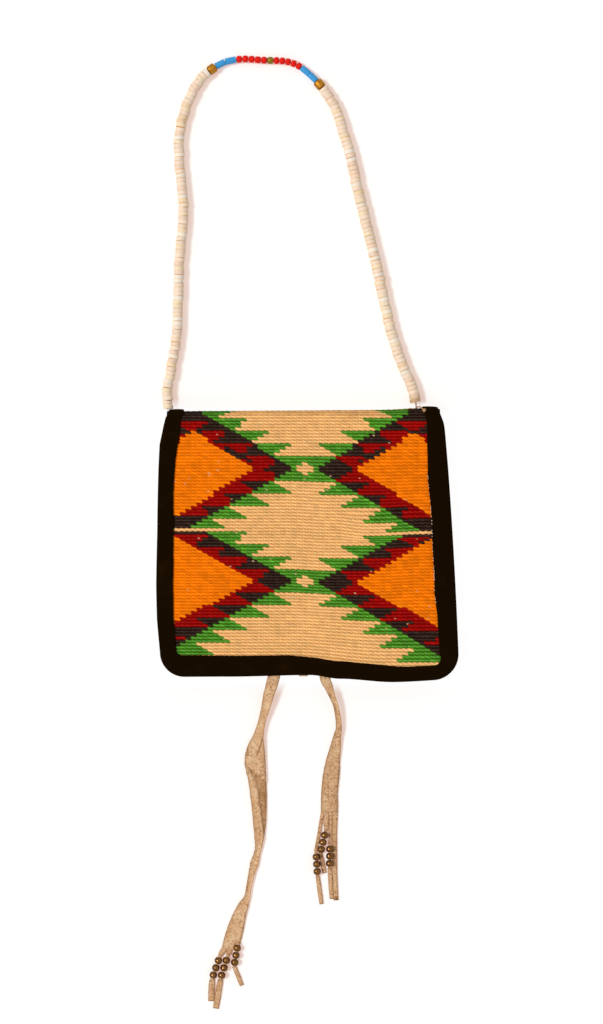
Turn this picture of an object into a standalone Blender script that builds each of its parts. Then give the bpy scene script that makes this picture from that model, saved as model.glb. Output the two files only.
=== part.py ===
"""Twined corn husk handbag: flap, pouch, velvet bindings, shell disc strap and a hide tie.

The bag lies on its back. +Z points away from the table, +Y towards the strap.
The origin is under the middle of the flap. Units are metres.
"""

import math

import bpy
import bmesh
from mathutils import Vector

# Sheet of twined weave, one piece that runs up the back, over the top fold and down the flap.
WEAVE_THICKNESS = 0.0018
RIDGE_DEPTH = 0.00042
FLAP_ROWS = 88
FOLD_ROWS = 9
BACK_ROWS = 87
INNER_BLEND_STEP = 4
INNER_STRAIGHT_STEP = 10
FLAT_ANGLE = 0.05
GAP = 0.0003

# Flap outline, measured to the outer edge of its binding.
FLAP_TOP_LEFT = -0.1066
FLAP_TOP_RIGHT = 0.1012
FLAP_BOTTOM_LEFT = -0.1120
FLAP_BOTTOM_RIGHT = 0.1130
FLAP_LEFT_BULGE = 0.0022
FLAP_RIGHT_BULGE = 0.0012
FLAP_LENGTH = 0.19485
CORNER_RADIUS = 0.0185
FOLD_Y = 0.09485
FOLD_INNER_RADIUS = 0.0046

# Rows of weave sag and slant towards the lower edge: shares of the width, and shifts there.
STATIONS = (0.0, 0.225, 0.5, 0.775, 1.0)
ROW_SHIFTS = (-0.0004, 0.0002, 0.0021, -0.0027, -0.0015)

# How the flap swells over the pouch between its flat edges.
FOLD_BLEND = 0.045
BOTTOM_BLEND = 0.060
SWELL_POWER = 4

# Pouch under the flap.
BACK_INSET = 0.0020
BACK_INSET_RUN = 0.030
BACK_END_INSET = 0.0036
POCKET_THICKNESS = 0.0012
POCKET_FLANGE = 0.0135
POCKET_SLOPE = 0.034
POCKET_RISE = 0.0051
POCKET_SLOPE_SHARES = (0.0, 0.5, 1.0)
POCKET_PLATEAU_ROWS = 3
MOUTH_BELOW_FOLD = 0.008

# Binding: a strip folded round each edge.
BINDING_THICKNESS = 0.0009
BINDING_ROUND = 0.0005
FLAP_BINDING_TOP_WIDTH = 0.0098
FLAP_BINDING_SIDE_WIDTH = 0.0124
FLAP_BINDING_BOTTOM_WIDTH = 0.0140
POUCH_BINDING_WIDTH = 0.0125
UPPER_SIDE_STEPS = 5
LOWER_SIDE_STEPS = 4
CORNER_STEPS = 6

# Strap: a cord, shell discs on both legs, and glass and brass beads across the top.
CORD_RADIUS = 0.0005
CORD_CLEARANCE = 0.0003
DISC_RADIUS = 0.0039
DISC_GROOVE = 0.84
DISC_PITCH = 0.00316
LEFT_LEG_LENGTH = 0.2580
ROUTE_STEPS = 12

# Bare cord over the fold at the right: degrees round the fold, its drift, and the knot there.
CORD_END_DRIFT = 0.0009
CORD_END_TURNS = (118, 100, 84, 70)
KNOT_RADIUS = 0.0015
KNOT_DRIFT = 0.0016
KNOT_TURN = 37

# Centreline of the shell discs and beads, from the left end over the top to the right end.
STRAP_ROUTE = [
    (-0.1043, 0.1029, 0.0040),
    (-0.1043, 0.1148, 0.0040),
    (-0.1021, 0.1283, 0.0040),
    (-0.0991, 0.1433, 0.0040),
    (-0.0971, 0.1635, 0.0040),
    (-0.0965, 0.1823, 0.0040),
    (-0.0961, 0.2010, 0.0040),
    (-0.0947, 0.2235, 0.0040),
    (-0.0926, 0.2483, 0.0040),
    (-0.0934, 0.2648, 0.0040),
    (-0.0957, 0.2850, 0.0040),
    (-0.0959, 0.3023, 0.0040),
    (-0.0941, 0.3158, 0.0040),
    (-0.0896, 0.3308, 0.0040),
    (-0.0818, 0.3458, 0.0040),
    (-0.0750, 0.3535, 0.0041),
    (-0.0652, 0.3601, 0.0033),
    (-0.0560, 0.3627, 0.0026),
    (-0.0456, 0.3634, 0.0025),
    (-0.0360, 0.3626, 0.0025),
    (-0.0271, 0.3622, 0.0025),
    (-0.0178, 0.3621, 0.0025),
    (-0.0097, 0.3601, 0.0025),
    (-0.0030, 0.3566, 0.0026),
    (0.0040, 0.3511, 0.0034),
    (0.0100, 0.3448, 0.0040),
    (0.0155, 0.3375, 0.0040),
    (0.0218, 0.3270, 0.0040),
    (0.0268, 0.3128, 0.0040),
    (0.0331, 0.2903, 0.0040),
    (0.0383, 0.2678, 0.0040),
    (0.0435, 0.2453, 0.0040),
    (0.0495, 0.2228, 0.0040),
    (0.0547, 0.2003, 0.0040),
    (0.0592, 0.1778, 0.0040),
    (0.0648, 0.1553, 0.0040),
    (0.0727, 0.1328, 0.0040),
    (0.0789, 0.1185, 0.0040),
    (0.0826, 0.1042, 0.0040),
]

# Beads across the top, from left to right: name, length along the cord and outer radius.
TOP_BEADS = [
    ("brass_bead_left", 0.0066, 0.0036),
    ("blue_bead_1", 0.0080, 0.0024),
    ("blue_bead_2", 0.0086, 0.0024),
    ("red_bead_1", 0.0047, 0.0023),
    ("red_bead_2", 0.0047, 0.0023),
    ("red_bead_3", 0.0047, 0.0023),
    ("red_bead_4", 0.0047, 0.0023),
    ("red_bead_5", 0.0047, 0.0023),
    ("centre_bead", 0.0048, 0.0024),
    ("red_bead_6", 0.0044, 0.0023),
    ("red_bead_7", 0.0044, 0.0023),
    ("red_bead_8", 0.0044, 0.0023),
    ("red_bead_9", 0.0044, 0.0023),
    ("red_bead_10", 0.0044, 0.0023),
    ("blue_bead_3", 0.0077, 0.0024),
    ("blue_bead_4", 0.0077, 0.0024),
    ("brass_bead_right", 0.0067, 0.0036),
]
SMALL_BEAD_SIDES = 6
BRASS_BEAD_SIDES = 8
BEAD_SHOULDER = 0.6

# Tie: two hide thongs, each cut into three strands that carry three metal beads.
HIDE_THICKNESS = 0.0011
CURL_THICKENING = 0.18
CURL_START = 0.012
FLAT_THONG_WIDTH = 0.0120
HIDDEN_STEP = 0.008
VISIBLE_LEDGE_PLACES = 3
TIE_BEAD_RADIUS = 0.0023
TIE_BEAD_LENGTH = 0.0046
STRAND_WAIST = 0.0014
STRAND_WIDTH = 0.0032
STRAND_THICKNESS = 0.0010
BEAD_BORE_RADIUS = 0.00125
BEADS_ON_A_STRAND = 3
TABLE_GAP = 0.0001
THONG_LEDGE = 0.003
THONG_LANDING = 0.026

# Places of the tie are x and the height over the flap's lower edge, negative below it.
# Thong centrelines from the edge down, with the width. Height above the table is worked out.
LONG_THONG = [
    (-0.0244, 0.0010, 0.0105),
    (-0.0279, -0.0120, 0.0090),
    (-0.0311, -0.0253, 0.0083),
    (-0.0368, -0.0440, 0.0079),
    (-0.0390, -0.0628, 0.0146),
    (-0.0364, -0.0853, 0.0120),
    (-0.0349, -0.1085, 0.0090),
    (-0.0358, -0.1265, 0.0057),
    (-0.0394, -0.1393, 0.0073),
    (-0.0428, -0.1565, 0.0038),
    (-0.0446, -0.1678, 0.0041),
    (-0.0499, -0.1790, 0.0090),
    (-0.0536, -0.1903, 0.0120),
    (-0.0564, -0.2008, 0.0124),
]
SHORT_THONG = [
    (0.0131, -0.0013, 0.0083),
    (0.0176, -0.0103, 0.0045),
    (0.0214, -0.0200, 0.0038),
    (0.0241, -0.0358, 0.0045),
    (0.0225, -0.0478, 0.0068),
    (0.0199, -0.0628, 0.0098),
    (0.0184, -0.0778, 0.0128),
    (0.0169, -0.0928, 0.0128),
    (0.0165, -0.1018, 0.0128),
]
# Hidden run of each thong from the seam on the pouch front, with the width.
LONG_THONG_TOP = [
    (-0.0075, 0.0880, 0.0090),
    (-0.0125, 0.0580, 0.0095),
    (-0.0190, 0.0260, 0.0100),
]
SHORT_THONG_TOP = [
    (0.0040, 0.0880, 0.0080),
    (0.0062, 0.0580, 0.0080),
    (0.0095, 0.0260, 0.0082),
]

# Strands from left to right: first bead, last bead and tip.
LONG_STRANDS = [
    ((-0.0661, -0.2140), (-0.0701, -0.2248), (-0.0722, -0.2435)),
    ((-0.0606, -0.2140), (-0.0639, -0.2251), (-0.0683, -0.2503)),
    ((-0.0524, -0.2052), (-0.0540, -0.2160), (-0.0485, -0.2330)),
]
SHORT_STRANDS = [
    ((0.0071, -0.1363), (0.0079, -0.1471), (0.0110, -0.1721)),
    ((0.0139, -0.1200), (0.0113, -0.1304), (0.0141, -0.1485)),
    ((0.0174, -0.1304), (0.0174, -0.1412), (0.0206, -0.1676)),
]
TAB_WIDTH = 0.0062
TAB_STEPS = 6
TAB_TOP = (-0.0024, 0.0400)
TAB_TIP = (-0.0024, -0.0002)

LOWER_EDGE_Y = FOLD_Y - FLAP_LENGTH
WEAVE_OUTER_RADIUS = FOLD_INNER_RADIUS + WEAVE_THICKNESS
BACK_INNER_Z = BINDING_THICKNESS + GAP + WEAVE_THICKNESS
FOLD_Z = BACK_INNER_Z + FOLD_INNER_RADIUS
FOLD_ARC = math.pi * WEAVE_OUTER_RADIUS
POCKET_LOW_Z = BACK_INNER_Z + GAP
POUCH_BINDING_TOP_Z = POCKET_LOW_Z + POCKET_THICKNESS + GAP + BINDING_THICKNESS
FLAP_EDGE_INNER_Z = POUCH_BINDING_TOP_Z + GAP + HIDE_THICKNESS + GAP + BINDING_THICKNESS + GAP
FLAP_TOP_INNER_Z = FOLD_Z + FOLD_INNER_RADIUS
BACK_LENGTH = FLAP_LENGTH - BACK_END_INSET
SHEET_INSET = BINDING_THICKNESS + GAP


def clear_scene():
    """Remove every object that the file opened with."""
    for item in list(bpy.data.objects):
        bpy.data.objects.remove(item, do_unlink=True)


def collection(name):
    """Return a new collection in the scene."""
    group = bpy.data.collections.new(name)
    bpy.context.scene.collection.children.link(group)
    return group


def material(name, color, roughness, metallic=0.0):
    """Return a Principled material."""
    finish = bpy.data.materials.new(name)
    finish.use_nodes = True
    shader = finish.node_tree.nodes["Principled BSDF"]
    shader.inputs["Base Color"].default_value = (*color, 1.0)
    shader.inputs["Roughness"].default_value = roughness
    shader.inputs["Metallic"].default_value = metallic
    finish.diffuse_color = (*color, 1.0)
    return finish


def smooth_step(value):
    """Ease a share from 0 to 1."""
    share = min(1.0, max(0.0, value))
    return share * share * (3 - 2 * share)


def mix(first, second, share):
    """Blend two values."""
    return first + (second - first) * share


def across_stations(values, share):
    """Read a value between the width stations by straight lines."""
    last = len(STATIONS) - 2
    index = next((i for i in range(last) if share <= STATIONS[i + 1]), last)
    low, high = STATIONS[index], STATIONS[index + 1]
    return mix(values[index], values[index + 1], (share - low) / (high - low))


def flap_edges(down):
    """Return the flap's left and right edges at a distance below the fold."""
    share = down / FLAP_LENGTH
    swell = 4 * share * (1 - share)
    left = mix(FLAP_TOP_LEFT, FLAP_BOTTOM_LEFT, share) - FLAP_LEFT_BULGE * swell
    right = mix(FLAP_TOP_RIGHT, FLAP_BOTTOM_RIGHT, share) + FLAP_RIGHT_BULGE * swell
    return left, right


def back_edges(down):
    """Return the back's edges, a little inside the flap's."""
    left, right = flap_edges(down)
    inset = BACK_INSET * min(1.0, down / BACK_INSET_RUN)
    return left + inset, right - inset


def swell_height(share, down):
    """Return how far the flap's inner face stands above its edge height."""
    dome = 1 - abs(2 * share - 1) ** SWELL_POWER
    near_fold = 1 - smooth_step(down / FOLD_BLEND)
    above_bottom = smooth_step((FLAP_LENGTH - down) / BOTTOM_BLEND)
    lift = 1 - (1 - near_fold) * (1 - dome * above_bottom)
    return (FLAP_TOP_INNER_Z - FLAP_EDGE_INNER_Z) * lift


def flap_point(x, down, height):
    """Return a point on the flap: height 0 is its inner face."""
    left, right = flap_edges(down)
    share = (x - left) / (right - left)
    swell = across_stations([swell_height(station, down) for station in STATIONS], share)
    shift = across_stations(ROW_SHIFTS, share) * (down / FLAP_LENGTH) ** 2
    return Vector((x, FOLD_Y - down + shift, FLAP_EDGE_INNER_Z + swell + height))


def fold_point(x, along, height):
    """Return a point on the top fold, along its outer arc from the flap to the back."""
    angle = along / WEAVE_OUTER_RADIUS
    radius = FOLD_INNER_RADIUS + height
    return Vector((x, FOLD_Y + radius * math.sin(angle), FOLD_Z + radius * math.cos(angle)))


def back_point(x, down, height):
    """Return a point on the back: height runs down, from its inner face to the table."""
    return Vector((x, FOLD_Y - down, BACK_INNER_Z - height))


def sheet_point(x, along, height):
    """Return a point of the folded sheet: along is negative on the flap and grows to the back."""
    if along <= 0:
        return flap_point(x, -along, height)
    if along < FOLD_ARC:
        return fold_point(x, along, height)
    return back_point(x, along - FOLD_ARC, height)


def sheet_edges(along):
    """Return the outline's left and right edges at a place along the sheet."""
    if along <= 0:
        return flap_edges(-along)
    return back_edges(max(0.0, along - FOLD_ARC))


def corner_inset(from_end, radius):
    """Return how far a rounded corner draws the edge in, at a distance from the end."""
    if from_end >= radius:
        return 0.0
    return radius - math.sqrt(max(0.0, radius ** 2 - (radius - from_end) ** 2))


def mesh_object(name, bm, finish, group, closed=True):
    """Point a closed mesh's faces outwards, and place it in the collection."""
    if closed:
        bmesh.ops.recalc_face_normals(bm, faces=bm.faces)
    mesh = bpy.data.meshes.new(name)
    bm.to_mesh(mesh)
    bm.free()
    mesh.materials.append(finish)
    item = bpy.data.objects.new(name, mesh)
    group.objects.link(item)
    return item


def loft(bm, sections, closed=False):
    """Bridge sections of equal point counts, and cap the ends of an open loft."""
    rings = [[bm.verts.new(point) for point in section] for section in sections]
    count = len(rings[0])
    pairs = list(zip(rings, rings[1:]))
    if closed:
        pairs.append((rings[-1], rings[0]))
    for first, second in pairs:
        for i in range(count):
            j = (i + 1) % count
            bm.faces.new((first[i], first[j], second[j], second[i]))
    if not closed:
        bm.faces.new(rings[0])
        bm.faces.new(rings[-1])


def row_ends():
    """Return the places of the row boundaries, from the flap's lower edge to the back's."""
    flap = FLAP_LENGTH - SHEET_INSET
    back = BACK_LENGTH - SHEET_INSET
    places = [-flap * (1 - i / FLAP_ROWS) for i in range(FLAP_ROWS)]
    places += [FOLD_ARC * i / FOLD_ROWS for i in range(FOLD_ROWS)]
    places += [FOLD_ARC + back * i / BACK_ROWS for i in range(BACK_ROWS + 1)]
    return places


def sheet_ends(edges, length, down):
    """Return where cloth ends on both sides inside its binding, with its rounded corners."""
    left, right = edges(min(down, length - CORNER_RADIUS))
    inset = SHEET_INSET + corner_inset(length - SHEET_INSET - down, CORNER_RADIUS - SHEET_INSET)
    return left + inset, right - inset


def weave_row(bm, along, height):
    """Return the vertices across the sheet at one place along it."""
    left, right = sheet_edges(along)
    if along <= 0:
        left_end, right_end = sheet_ends(flap_edges, FLAP_LENGTH, -along)
    else:
        left_end, right_end = sheet_ends(back_edges, BACK_LENGTH, max(0.0, along - FOLD_ARC))
    places = [mix(left, right, station) for station in STATIONS]
    places[0] = left_end
    places[-1] = right_end
    return [bm.verts.new(sheet_point(x, along, height)) for x in places]


def inner_places(boundaries):
    """Pick the row boundaries that the smooth inner face needs: close together where it turns."""
    kept = []
    last = len(boundaries) - 1
    corner_rows = CORNER_RADIUS / (boundaries[1] - boundaries[0])
    for i, along in enumerate(boundaries):
        step = INNER_STRAIGHT_STEP
        if -FOLD_BLEND < along < 0 or along < BOTTOM_BLEND - FLAP_LENGTH:
            step = INNER_BLEND_STEP
        if min(i, last - i) < corner_rows or 0 <= along <= FOLD_ARC:
            step = 1
        if i % step == 0 or i == last:
            kept.append(i)
    return kept


def woven_panel(finish, group):
    """Build the twined sheet: a ridge for each row outside, a smooth face inside."""
    bm = bmesh.new()
    boundaries = row_ends()
    valley = WEAVE_THICKNESS - RIDGE_DEPTH
    outer = []
    for low, high in zip(boundaries, boundaries[1:]):
        outer.append(weave_row(bm, low, valley))
        outer.append(weave_row(bm, (low + high) / 2, WEAVE_THICKNESS))
    outer.append(weave_row(bm, boundaries[-1], valley))
    kept = inner_places(boundaries)
    inner = [weave_row(bm, boundaries[i], 0.0) for i in kept]
    columns = range(len(STATIONS) - 1)
    strips = list(zip(outer, outer[1:])) + list(zip(inner, inner[1:]))
    strips += [(outer[0], inner[0]), (outer[-1], inner[-1])]
    for first, second in strips:
        for k in columns:
            bm.faces.new((first[k], first[k + 1], second[k + 1], second[k]))
    for side in (0, -1):
        for j, (low, high) in enumerate(zip(kept, kept[1:])):
            edge = [row[side] for row in outer[2 * low:2 * high + 1]]
            bm.faces.new(edge + [inner[j + 1][side], inner[j][side]])
    bm.normal_update()
    flat = math.radians(FLAT_ANGLE)
    bmesh.ops.dissolve_limit(bm, angle_limit=flat, verts=bm.verts, edges=bm.edges)
    return mesh_object("woven_panel", bm, finish, group)


def side_path(edges, start, stop, count, side):
    """Return places down one side of an outline: x, down and the direction inwards."""
    places = []
    for i in range(count + 1):
        down = mix(start, stop, i / count)
        places.append((edges(down)[side], down, 1 - 2 * side, 0.0))
    return places


def corner_path(edges, length, side):
    """Return places round a lower corner, from its side to the bottom edge."""
    centre_down = length - CORNER_RADIUS
    sign = 1 - 2 * side
    centre_x = edges(centre_down)[side] + sign * CORNER_RADIUS
    places = []
    for i in range(1, CORNER_STEPS):
        angle = math.pi / 2 * i / CORNER_STEPS
        inward = (sign * math.cos(angle), -math.sin(angle))
        x = centre_x - inward[0] * CORNER_RADIUS
        places.append((x, centre_down - inward[1] * CORNER_RADIUS, *inward))
    return places


def bottom_path(edges, length):
    """Return places along the bottom edge, between the corners and at each station."""
    left, right = edges(length)
    low = edges(length - CORNER_RADIUS)[0] + CORNER_RADIUS
    high = edges(length - CORNER_RADIUS)[1] - CORNER_RADIUS
    inner = [mix(left, right, station) for station in STATIONS[1:-1]]
    return [(x, length, 0.0, -1.0) for x in (low, *inner, high)]


def outline_path(edges, length, start):
    """Return places all round an outline's two sides and bottom, left side first."""
    straight = length - CORNER_RADIUS
    upper = side_path(edges, start, FOLD_BLEND, UPPER_SIDE_STEPS, 0)
    lower = side_path(edges, FOLD_BLEND, straight, LOWER_SIDE_STEPS, 0)
    right_lower = side_path(edges, straight, FOLD_BLEND, LOWER_SIDE_STEPS, 1)
    right_upper = side_path(edges, FOLD_BLEND, start, UPPER_SIDE_STEPS, 1)
    left = upper + lower[1:] + corner_path(edges, length, 0)
    right = corner_path(edges, length, 1)[::-1] + right_lower + right_upper[1:]
    return left + bottom_path(edges, length) + right


def channel(low, high, width):
    """Return the section of a strip folded round an edge: inset from the edge and height."""
    bottom = low - BINDING_THICKNESS
    top = high + BINDING_THICKNESS
    return [
        (BINDING_ROUND, bottom), (width, bottom), (width, low), (BINDING_THICKNESS, low),
        (BINDING_THICKNESS, high), (width, high), (width, top), (BINDING_ROUND, top),
        (0.0, top - BINDING_ROUND), (0.0, bottom + BINDING_ROUND),
    ]


def binding(name, path, widths, low, high, place, finish, group):
    """Sweep a folded strip along a path on the sheet."""
    sections = []
    for (x, along, inward_x, inward_along), width in zip(path, widths):
        section = channel(low, high, width)
        sections.append([
            place(x + inset * inward_x, along + inset * inward_along, height)
            for inset, height in section
        ])
    bm = bmesh.new()
    loft(bm, sections)
    return mesh_object(name, bm, finish, group)


def flap_binding(finish, group):
    """Build the flap's binding, with both ends folded over the top to the back."""
    fold = [FOLD_ARC * (1 - i / FOLD_ROWS) for i in range(FOLD_ROWS)]
    outline = outline_path(flap_edges, FLAP_LENGTH, 0.0)
    path = [(FLAP_TOP_LEFT, along, 1, 0.0) for along in fold]
    path += [(x, -down, inward_x, -inward_down) for x, down, inward_x, inward_down in outline]
    path += [(FLAP_TOP_RIGHT, along, -1, 0.0) for along in reversed(fold)]
    widths = []
    for _, along, _, inward_along in path:
        from_top = smooth_step(-2 * along / FLAP_LENGTH)
        side = mix(FLAP_BINDING_TOP_WIDTH, FLAP_BINDING_SIDE_WIDTH, from_top)
        widths.append(mix(side, FLAP_BINDING_BOTTOM_WIDTH, abs(inward_along)))
    return binding(
        "flap_binding", path, widths, -GAP, WEAVE_THICKNESS + GAP, sheet_point, finish, group
    )


def pouch_binding(finish, group):
    """Build the binding that holds the pouch front to the back, open at the mouth."""
    path = outline_path(back_edges, BACK_LENGTH, GAP)
    low = -(GAP + POCKET_THICKNESS + GAP)
    widths = [POUCH_BINDING_WIDTH] * len(path)
    return binding(
        "pouch_binding", path, widths, low, WEAVE_THICKNESS + GAP, back_point, finish, group
    )


def pocket_front(finish, group):
    """Build the pouch front: a flat flange on three sides and a raised middle."""
    bottom = BACK_LENGTH - SHEET_INSET
    corner = CORNER_RADIUS - SHEET_INSET
    insets = [POCKET_FLANGE + POCKET_SLOPE * share for share in POCKET_SLOPE_SHARES]
    downs = [MOUTH_BELOW_FOLD]
    for i in range(POCKET_PLATEAU_ROWS):
        downs.append(mix(BACK_INSET_RUN, bottom - insets[-1], i / POCKET_PLATEAU_ROWS))
    downs += [bottom - inset for inset in reversed(insets)]
    downs += [bottom - corner / 2, bottom]
    side_rises = [0.0] + [smooth_step(share) for share in POCKET_SLOPE_SHARES]
    rises = side_rises + [1.0] + side_rises[::-1]
    bm = bmesh.new()
    rows = []
    for down in downs:
        left, right = back_edges(down)
        left_end, right_end = sheet_ends(back_edges, BACK_LENGTH, down)
        places = [left_end, *(max(left + inset, left_end + GAP) for inset in insets), 0.0]
        places += [min(right - inset, right_end - GAP) for inset in reversed(insets)]
        places.append(right_end)
        from_bottom = smooth_step((bottom - down - POCKET_FLANGE) / POCKET_SLOPE)
        row = []
        for x, rise in zip(places, rises):
            height = -GAP - POCKET_RISE * rise * from_bottom
            row.append(bm.verts.new(back_point(x, down, height)))
        rows.append(row)
    for first, second in zip(rows, rows[1:]):
        for k in range(len(first) - 1):
            bm.faces.new((first[k], second[k], second[k + 1], first[k + 1]))
    item = mesh_object("pocket_front", bm, finish, group, closed=False)
    solid = item.modifiers.new("thickness", "SOLIDIFY")
    solid.thickness = POCKET_THICKNESS
    solid.offset = 1.0
    return item


def smooth_route(points, steps):
    """Return closely spaced points on a smooth curve through the given ones."""
    route = [Vector(point) for point in points]
    ends = [2 * route[0] - route[1], *route, 2 * route[-1] - route[-2]]
    curve = []
    for before, first, second, after in zip(ends, ends[1:], ends[2:], ends[3:]):
        for i in range(steps):
            t = i / steps
            curve.append(0.5 * (
                2 * first + (second - before) * t
                + (2 * before - 5 * first + 4 * second - after) * t ** 2
                + (3 * first - before - 3 * second + after) * t ** 3
            ))
    curve.append(route[-1])
    return curve


class Route:
    """A curve that can be read at a distance along it."""

    def __init__(self, points):
        self.points = points
        self.marks = [0.0]
        for first, second in zip(points, points[1:]):
            self.marks.append(self.marks[-1] + (second - first).length)
        self.length = self.marks[-1]

    def at(self, distance):
        """Return the point at a distance from the start."""
        inside = min(max(distance, 0.0), self.length)
        index = next(i for i in range(1, len(self.marks)) if inside <= self.marks[i] + 1e-12)
        low, high = self.marks[index - 1], self.marks[index]
        return self.points[index - 1].lerp(self.points[index], (inside - low) / (high - low))


def tube(name, points, radii, finish, group, resolution=2):
    """Build a round tube along straight stretches, with a radius at each point."""
    curve = bpy.data.curves.new(name, "CURVE")
    curve.dimensions = "3D"
    curve.twist_mode = "Z_UP"
    curve.bevel_depth = 1.0
    curve.bevel_resolution = resolution
    curve.use_fill_caps = True
    spline = curve.splines.new("POLY")
    spline.points.add(len(points) - 1)
    for knot, point, radius in zip(spline.points, points, radii):
        knot.co = (*point, 1.0)
        knot.radius = radius
    curve.materials.append(finish)
    item = bpy.data.objects.new(name, curve)
    group.objects.link(item)
    return item


def shell_run(name, route, start, stop, finish, group):
    """Build one leg's shell discs, a ridge each, fused on the cord that carries them."""
    count = round((stop - start) / DISC_PITCH)
    pitch = (stop - start) / count
    points = []
    radii = []
    for i in range(count):
        points += [route.at(start + pitch * i), route.at(start + pitch * (i + 0.5))]
        radii += [DISC_RADIUS * DISC_GROOVE, DISC_RADIUS]
    points.append(route.at(stop))
    radii.append(DISC_RADIUS * DISC_GROOVE)
    return tube(name, points, radii, finish, group, resolution=1)


def turned_bead(name, centre, axis, radius, length, bore, sides, finish, group):
    """Build a bored bead as a turned profile."""
    half = length / 2
    shoulder = half * BEAD_SHOULDER
    profile = [(bore, half), (radius, shoulder), (radius, -shoulder), (bore, -half)]
    mesh = bpy.data.meshes.new(name)
    edges = [(i, (i + 1) % len(profile)) for i in range(len(profile))]
    mesh.from_pydata([(x, 0.0, z) for x, z in profile], edges, [])
    mesh.materials.append(finish)
    item = bpy.data.objects.new(name, mesh)
    item.location = centre
    item.rotation_mode = "QUATERNION"
    item.rotation_quaternion = axis.to_track_quat("Z", "Y")
    turn = item.modifiers.new("turn", "SCREW")
    turn.steps = sides
    turn.render_steps = sides
    turn.use_merge_vertices = True
    turn.merge_threshold = 0.00001
    turn.use_smooth_shade = True
    group.objects.link(item)
    return item


def strap(finishes, group):
    """Build the strap: two legs of shell discs, the top cord with its beads, and a knot."""
    route = Route(smooth_route(STRAP_ROUTE, ROUTE_STEPS))
    beads_length = sum(length for _, length, _ in TOP_BEADS)
    right_start = LEFT_LEG_LENGTH + beads_length
    shell_run("strap_shells_left", route, 0.0, LEFT_LEG_LENGTH - GAP, finishes["shell"], group)
    shell_run("strap_shells_right", route, right_start + GAP, route.length, finishes["shell"], group)
    joints = [route.at(LEFT_LEG_LENGTH)]
    place = LEFT_LEG_LENGTH
    for _, length, _ in TOP_BEADS:
        place += length
        joints.append(route.at(place))
    spans = [second - first for first, second in zip(joints, joints[1:])]
    for i, (name, _, radius) in enumerate(TOP_BEADS):
        near = spans[max(0, i - 1):i + 2]
        bend = max(spans[i].angle(span) for span in near)
        room = GAP + 2 * radius * math.tan(bend / 2)
        kind = name.split("_")[0]
        sides = BRASS_BEAD_SIDES if kind in ("brass", "centre") else SMALL_BEAD_SIDES
        turned_bead(
            name, (joints[i] + joints[i + 1]) / 2, spans[i], radius, spans[i].length - room,
            CORD_RADIUS + CORD_CLEARANCE, sides, finishes[kind], group,
        )
    tube("strap_cord", joints, [CORD_RADIUS] * len(joints), finishes["cord"], group)
    strap_ends(route, finishes["cord"], group)


def round_fold(x, ride, degrees):
    """Return a point at a distance from the top fold's axis, turned from its upper side."""
    turn = math.radians(degrees)
    return Vector((x, FOLD_Y + ride * math.sin(turn), FOLD_Z + ride * math.cos(turn)))


def strap_ends(route, finish, group):
    """Build the bare cord ends at both top corners, and the knot on the flap at the right."""
    left = route.at(0.0) - Vector((0.0, GAP, 0.0))
    seam = Vector((left.x, FOLD_Y + WEAVE_OUTER_RADIUS + GAP, left.z - 2 * CORD_RADIUS))
    tube("strap_cord_end_left", [left, seam], [CORD_RADIUS] * 2, finish, group)
    right = route.at(route.length) - Vector((0.0, GAP, 0.0))
    points = [right]
    for i, degrees in enumerate(CORD_END_TURNS, start=1):
        ride = WEAVE_OUTER_RADIUS + 2 * GAP + CORD_RADIUS
        points.append(round_fold(right.x + i * CORD_END_DRIFT, ride, degrees))
    knot_ride = WEAVE_OUTER_RADIUS + GAP + KNOT_RADIUS
    knot = round_fold(points[-1].x + KNOT_DRIFT, knot_ride, KNOT_TURN)
    reach = (knot - points[-1]).normalized() * (KNOT_RADIUS + GAP)
    points.append(knot - reach)
    tube("strap_cord_end_right", points, [CORD_RADIUS] * len(points), finish, group)
    bm = bmesh.new()
    bmesh.ops.create_uvsphere(bm, u_segments=8, v_segments=6, radius=KNOT_RADIUS)
    bmesh.ops.translate(bm, verts=bm.verts, vec=knot)
    mesh_object("strap_knot", bm, finish, group)


def thong_height(y):
    """Return the height of a thong's underside: on the pouch, over its binding, on the table."""
    plateau = POCKET_LOW_Z + POCKET_RISE + POCKET_THICKNESS + 2 * GAP
    over_binding = POUCH_BINDING_TOP_Z + GAP
    slope_end = LOWER_EDGE_Y + POUCH_BINDING_WIDTH + BACK_INSET
    if y > slope_end:
        slope_top = LOWER_EDGE_Y + POCKET_FLANGE + POCKET_SLOPE + BACK_INSET
        climbed = min(1.0, (y - slope_end) / (slope_top - slope_end))
        return mix(over_binding, plateau, climbed)
    landing = LOWER_EDGE_Y - THONG_LANDING
    ledge = LOWER_EDGE_Y - THONG_LEDGE
    return mix(TABLE_GAP, over_binding, smooth_step((y - landing) / (ledge - landing)))


def strip_section(centre, direction, width, thickness, low):
    """Return the four corners of a flat strip's section that faces a direction in the plan."""
    side = Vector((-direction.y, direction.x, 0.0)).normalized() * (width / 2)
    base = Vector((centre[0], centre[1], low))
    up = Vector((0.0, 0.0, thickness))
    return [base + side, base - side, base - side + up, base + side + up]


def closer_places(places, longest):
    """Split a thong's long stretches into even steps."""
    closer = [places[0]]
    for first, second in zip(places, places[1:]):
        count = math.ceil(math.dist(first[:2], second[:2]) / longest)
        for i in range(1, count + 1):
            closer.append(tuple(mix(a, b, i / count) for a, b in zip(first, second)))
    return closer


def thong_sections(places):
    """Return the strip sections of a thong's uncut run."""
    sections = []
    for i, (x, y, width) in enumerate(places):
        before = places[max(0, i - 1)]
        after = places[min(len(places) - 1, i + 1)]
        direction = Vector((after[0] - before[0], after[1] - before[1], 0.0))
        thickness = HIDE_THICKNESS
        if y < LOWER_EDGE_Y - CURL_START:
            thickness += max(0.0, FLAT_THONG_WIDTH - width) * CURL_THICKENING
        sections.append(strip_section((x, y), direction, width, thickness, thong_height(y)))
    return sections


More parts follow.
